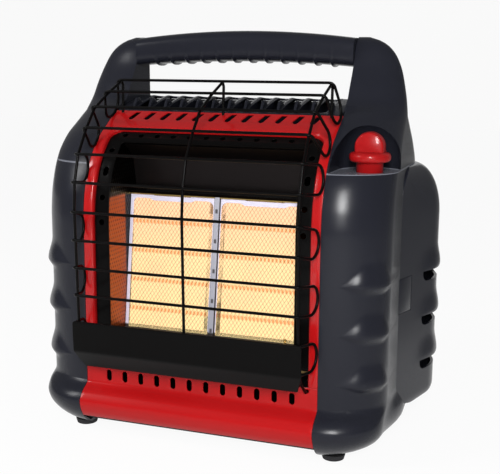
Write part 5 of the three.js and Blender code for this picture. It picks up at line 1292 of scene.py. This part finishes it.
class HEATER_OT_knob(bpy.types.Operator):
    """Build the red control knob with its skirt and rounded fin"""

    bl_idname = "heater.knob"
    bl_label = "Control knob"

    def execute(self, context):
        x, y = KNOB
        profile = [
            (0, 283.3), (13, 283.3), (13.5, 284), (13.5, 302), (14.5, 303), (19, 303.6),
            (20.6, 305), (21, 307.5), (20.7, 310), (19.5, 311.8), (17, 312.8), (12, 313.3), (0, 313.5),
        ]
        skirt = turned(smooth_profile(profile), x, y, 96)
        fin_foot, fin_half_depth = 309, 8
        sections = []
        for t in np.linspace(-1, 1, 17):
            lift = math.sqrt(max(1 - abs(t) ** 3.2, 0))
            half, top = 12.6 + 2.4 * lift, 331 + 2 * lift
            depth = y + fin_half_depth * t
            section = [(x - half, depth, fin_foot), (x + half, depth, fin_foot)]
            for k in range(33):
                a = math.pi * k / 32
                section.append((x + half * math.cos(a), depth, top - half + half * math.sin(a)))
            sections.append(section)
        fin = loft(sections)
        knob = combine(skirt, [fin], "UNION")
        knob = combine(knob, [rod((x, y, 279), (x, y, 306.3), 3.3)])
        present("knob", knob, "knob_red", ["control_knob"], body="knob", sharp=45)
        return {"FINISHED"}


def smooth_profile(profile):
    """Doubles the points of a turned profile, cutting its corners."""
    dense = [profile[0]]
    for (r0, z0), (r1, z1) in zip(profile, profile[1:]):
        long = math.hypot(r1 - r0, z1 - z0) > 4
        for share in (0, 1) if long else (0.25, 0.75):
            dense.append((r0 + (r1 - r0) * share, z0 + (z1 - z0) * share))
    dense.append(profile[-1])
    return dense


# Tiles


def leaned(x, depth, height):
    """A place measured from the foot of the tiles, in their leaning plane."""
    s, c = math.sin(LEAN), math.cos(LEAN)
    return (x, TILE_FOOT[0] + depth * c + height * s, TILE_FOOT[1] - depth * s + height * c)


class HEATER_OT_burners(bpy.types.Operator):
    """Build the rims and the diamond mesh in front of the glowing tiles"""

    bl_idname = "heater.burners"
    bl_label = "Tile rims and mesh"

    def execute(self, context):
        foot, top = -3, TILE_HEIGHT
        face = Bend([leaned(0, 0, h)[1:] for h in spread(foot, top, 6)])
        for sign, name in ((1, "right"), (-1, "left")):
            def tile_sheet(loops, *depths, **settings):
                moved = [[(u, v - foot) for u, v in loop] for loop in loops]
                sheet = bent_sheet(face, moved, *depths, **settings)
                return sheet if sign > 0 else mirrored(sheet)

            low, high = TILE_SIDES
            middle = (low + high) / 2
            dent = ((24, 0), (21, 2), (-21, 2), (-24, 0))
            notch = [(middle + across, top - down) for across, down in dent]
            outer = [(low, foot), (high, foot), (high, top), *notch, (low, top)]
            near, far, ceiling, dip = low + 1, high - 3.6, top - 5, top - 7.3
            inside = [(near, foot + 1), (far, foot + 1), (far, ceiling), (middle + 27, ceiling)]
            inside += [(middle + 22, dip), (middle - 22, dip), (middle - 27, ceiling), (near, ceiling)]
            inside = rounded_loop(inside, [1, 1, 5, 1.5, 1.5, 1.5, 1.5, 7], 6)
            rim = tile_sheet([outer, inside], *RIM_DEPTHS, edge=0.3, step=40)
            present(f"{name}_tile_rim", rim, "screen_steel", [f"{name}_screen"], sharp=40)
            x0, x1, z0, z1 = low + 0.2, high - 0.8, foot + 0.4, top - 1
            body = rounded_loop([(x0, z0), (x1, z0), (x1, z1), (x0, z1)], [1, 1, 1, 1])
            tile = tile_sheet([body], 0, TILE_DEPTH, edge=0.6, step=7.3)
            present(f"{name}_glowing_tile", tile, "tile_ceramic", [f"{name}_tile"], sharp=40)
            wires = []
            for line in diamond_lines((low + 1, high - 3), (foot + 0.6, top - 4.4), *DIAMOND):
                wires.append(([(*leaned(sign * u, MESH_DEPTH, v), 0) for u, v in line], False))
            mesh = swept_wires(wires, MESH_RADIUS, 4, 1, finishes["mesh_wire"])
            present(f"{name}_tile_mesh", mesh, "screen_steel", finish="mesh_wire")
        strip = bent_sheet(face, [oblong(3.2, face.length)], *STRIP_DEPTHS, edge=0.5, step=40)
        present("tile_divider", strip, "screen_steel", ["centre_strip"], sharp=40)
        return {"FINISHED"}


def diamond_lines(x_range, z_range, width, height):
    """The two families of slanted lines of a diamond mesh, cut to a window."""
    (x0, x1), (z0, z1) = x_range, z_range
    reach = (z1 - z0) * width / height
    lines = []
    for lean in (reach, -reach):
        for start in np.arange(x0 - reach, x1 + reach, width):
            low, high = sorted(min(max((bound - start) / lean, 0), 1) for bound in (x0, x1))
            if (high - low) * (z1 - z0) > 1:
                lines.append([(start + lean * t, z0 + (z1 - z0) * t) for t in (low, high)])
    return lines


class HEATER_OT_feet(bpy.types.Operator):
    """Build the rubber feet"""

    bl_idname = "heater.feet"
    bl_label = "Feet"

    def execute(self, context):
        profile = [(0, 0), (10.5, 0), (11.1, 0.3), (12.3, 4.6), (12.4, 5.4), (12.1, 5.7), (3, 5.7),
                   (3, 9.3), (5, 9.3), (4.6, 10.4), (3, 12), (0, 12)]
        for side, sign in (("right", 1), ("left", -1)):
            for end, y in FOOT_DEPTHS.items():
                form = turned(profile, sign * FOOT_X, y, 48)
                name = f"{end}_{side}"
                present(f"{name}_rubber", form, "foot_rubber", [f"{name}_foot"], sharp=35)
        return {"FINISHED"}


# Stage


class HEATER_PG_stage(bpy.types.PropertyGroup):
    key_power: setting("Key light", "Power of the light beside the camera", 26, "POWER")
    fill_power: setting("Fill light", "Power of the left-hand light", 11, "POWER")
    world_light: bpy.props.FloatProperty(
        name="Room light", description="Light from all round", default=0.25, min=0, max=2)


def seen_white(graph):
    """One where the camera, a reflection or a clear piece looks at the surface."""
    path = graph.tree.nodes.new("ShaderNodeLightPath")
    kinds = ("Is Camera Ray", "Is Glossy Ray", "Is Transmission Ray")
    camera, glossy, clear = (Link(graph, path.outputs[kind]) for kind in kinds)
    return camera.maths("MAXIMUM", glossy).maths("MAXIMUM", clear)


class HEATER_OT_stage(bpy.types.Operator):
    """Set the floor, the soft lights and the camera"""

    bl_idname = "heater.stage"
    bl_label = "Stage"

    def execute(self, context):
        settings = context.scene.heater_stage
        pale = bpy.data.materials.new("pale_backdrop")
        graph = Graph.of(pale)
        matt = graph.node("ShaderNodeBsdfDiffuse", None, {"Color": (0.85, 0.85, 0.85, 1)})
        white = graph.node("ShaderNodeEmission", None, {"Color": (1, 1, 1, 1), "Strength": 1.0})
        in_view = (1 - graph.axis("X").between(0.39, 0.5)) * graph.axis("Y").between(-0.45, -0.3)
        share = seen_white(graph) * in_view * 0.93
        both = graph.node("ShaderNodeMixShader", None, [share, matt, white])
        graph.node("ShaderNodeOutputMaterial", None, {"Surface": both})
        sheets = {
            "floor": [(-6, -6, 0), (6, -6, 0), (6, 5, 0), (-6, 5, 0)],
            "backdrop": [(-4.2, 5, 0), (0.6, 5, 0), (0.6, 5, 2.5), (-4.2, 5, 2.5)],
        }
        for name, corners in sheets.items():
            mesh = bpy.data.meshes.new(name)
            mesh.from_pydata(corners, [], [(0, 1, 2, 3)])
            mesh.materials.append(pale)
            sheet = bpy.data.objects.new(name, mesh)
            context.scene.collection.objects.link(sheet)

        world = bpy.data.worlds.new("studio")
        context.scene.world = world
        graph = Graph.of(world)
        light = {"Color": (1, 1, 1, 1), "Strength": settings.world_light}
        room = graph.node("ShaderNodeBackground", None, light)
        graph.node("ShaderNodeOutputWorld", None, {"Surface": room})

        self.lamp(context, "key_light", (0.51, -1.41, 0.75), (0.25, 0.6), settings.key_power)
        self.lamp(context, "fill_light", (-1.2, -0.9, 1.1), (0.4, 0.7), settings.fill_power)
        self.camera(context)
        context.scene.view_settings.view_transform = "Standard"
        return {"FINISHED"}

    def lamp(self, context, name, place, size, power):
        """A tall soft light turned to the heater's middle."""
        data = bpy.data.lights.new(name, "AREA")
        data.shape = "ELLIPSE"
        data.size, data.size_y = size
        data.energy = power
        target = (0, 0, 0.22)
        lamp = bpy.data.objects.new(name, data)
        lamp.location = place
        lamp.rotation_euler = (Vector(target) - Vector(place)).to_track_quat("-Z", "Y").to_euler()
        context.scene.collection.objects.link(lamp)

    def camera(self, context):
        turn, pitch, roll = (math.radians(angle) for angle in (19.54, 10.58, 0.39))
        flat = math.cos(pitch)
        ahead = Vector((-math.sin(turn) * flat, math.cos(turn) * flat, -math.sin(pitch)))
        level = Vector((math.cos(turn), math.sin(turn), 0))
        upright = level.cross(ahead)
        right = math.cos(roll) * level + math.sin(roll) * upright
        up = math.cos(roll) * upright - math.sin(roll) * level
        data = bpy.data.cameras.new("camera")
        data.sensor_width = 36
        data.lens = data.sensor_width * 1.87
        camera = bpy.data.objects.new("camera", data)
        turned_to = Matrix((right, up, -ahead)).transposed().to_4x4()
        camera.matrix_world = Matrix.Translation((0.3635, -0.9692, 0.3994)) @ turned_to
        context.scene.collection.objects.link(camera)
        context.scene.camera = camera


class HEATER_PT_panel(bpy.types.Panel):
    bl_idname = "HEATER_PT_panel"
    bl_label = "Heater"
    bl_space_type = "VIEW_3D"
    bl_region_type = "UI"
    bl_category = "Heater"

    def draw(self, context):
        for group in ("heater_housing", "heater_guard", "heater_grip", "heater_stage"):
            settings = getattr(context.scene, group)
            box = self.layout.box()
            for name in settings.bl_rna.properties.keys():
                if name not in ("rna_type", "name"):
                    box.prop(settings, name)
        for operator in OPERATORS:
            self.layout.operator(operator.bl_idname)


OPERATORS = [
    HEATER_OT_finishes, HEATER_OT_pods, HEATER_OT_doors, HEATER_OT_front, HEATER_OT_guard,
    HEATER_OT_handle, HEATER_OT_knob, HEATER_OT_burners, HEATER_OT_feet, HEATER_OT_stage,
]
GROUPS = {
    "heater_housing": HEATER_PG_housing,
    "heater_guard": HEATER_PG_guard,
    "heater_grip": HEATER_PG_grip,
    "heater_stage": HEATER_PG_stage,
}


def register():
    for group in GROUPS.values():
        bpy.utils.register_class(group)
    for operator in OPERATORS:
        bpy.utils.register_class(operator)
    bpy.utils.register_class(HEATER_PT_panel)
    for name, group in GROUPS.items():
        setattr(bpy.types.Scene, name, bpy.props.PointerProperty(type=group))


def unregister():
    for name in GROUPS:
        delattr(bpy.types.Scene, name)
    bpy.utils.unregister_class(HEATER_PT_panel)
    for operator in reversed(OPERATORS):
        bpy.utils.unregister_class(operator)
    for group in reversed(list(GROUPS.values())):
        bpy.utils.unregister_class(group)


def main():
    register()
    for operator in OPERATORS:
        group, name = operator.bl_idname.split(".")
        getattr(getattr(bpy.ops, group), name)()


if __name__ == "__main__":
    main()
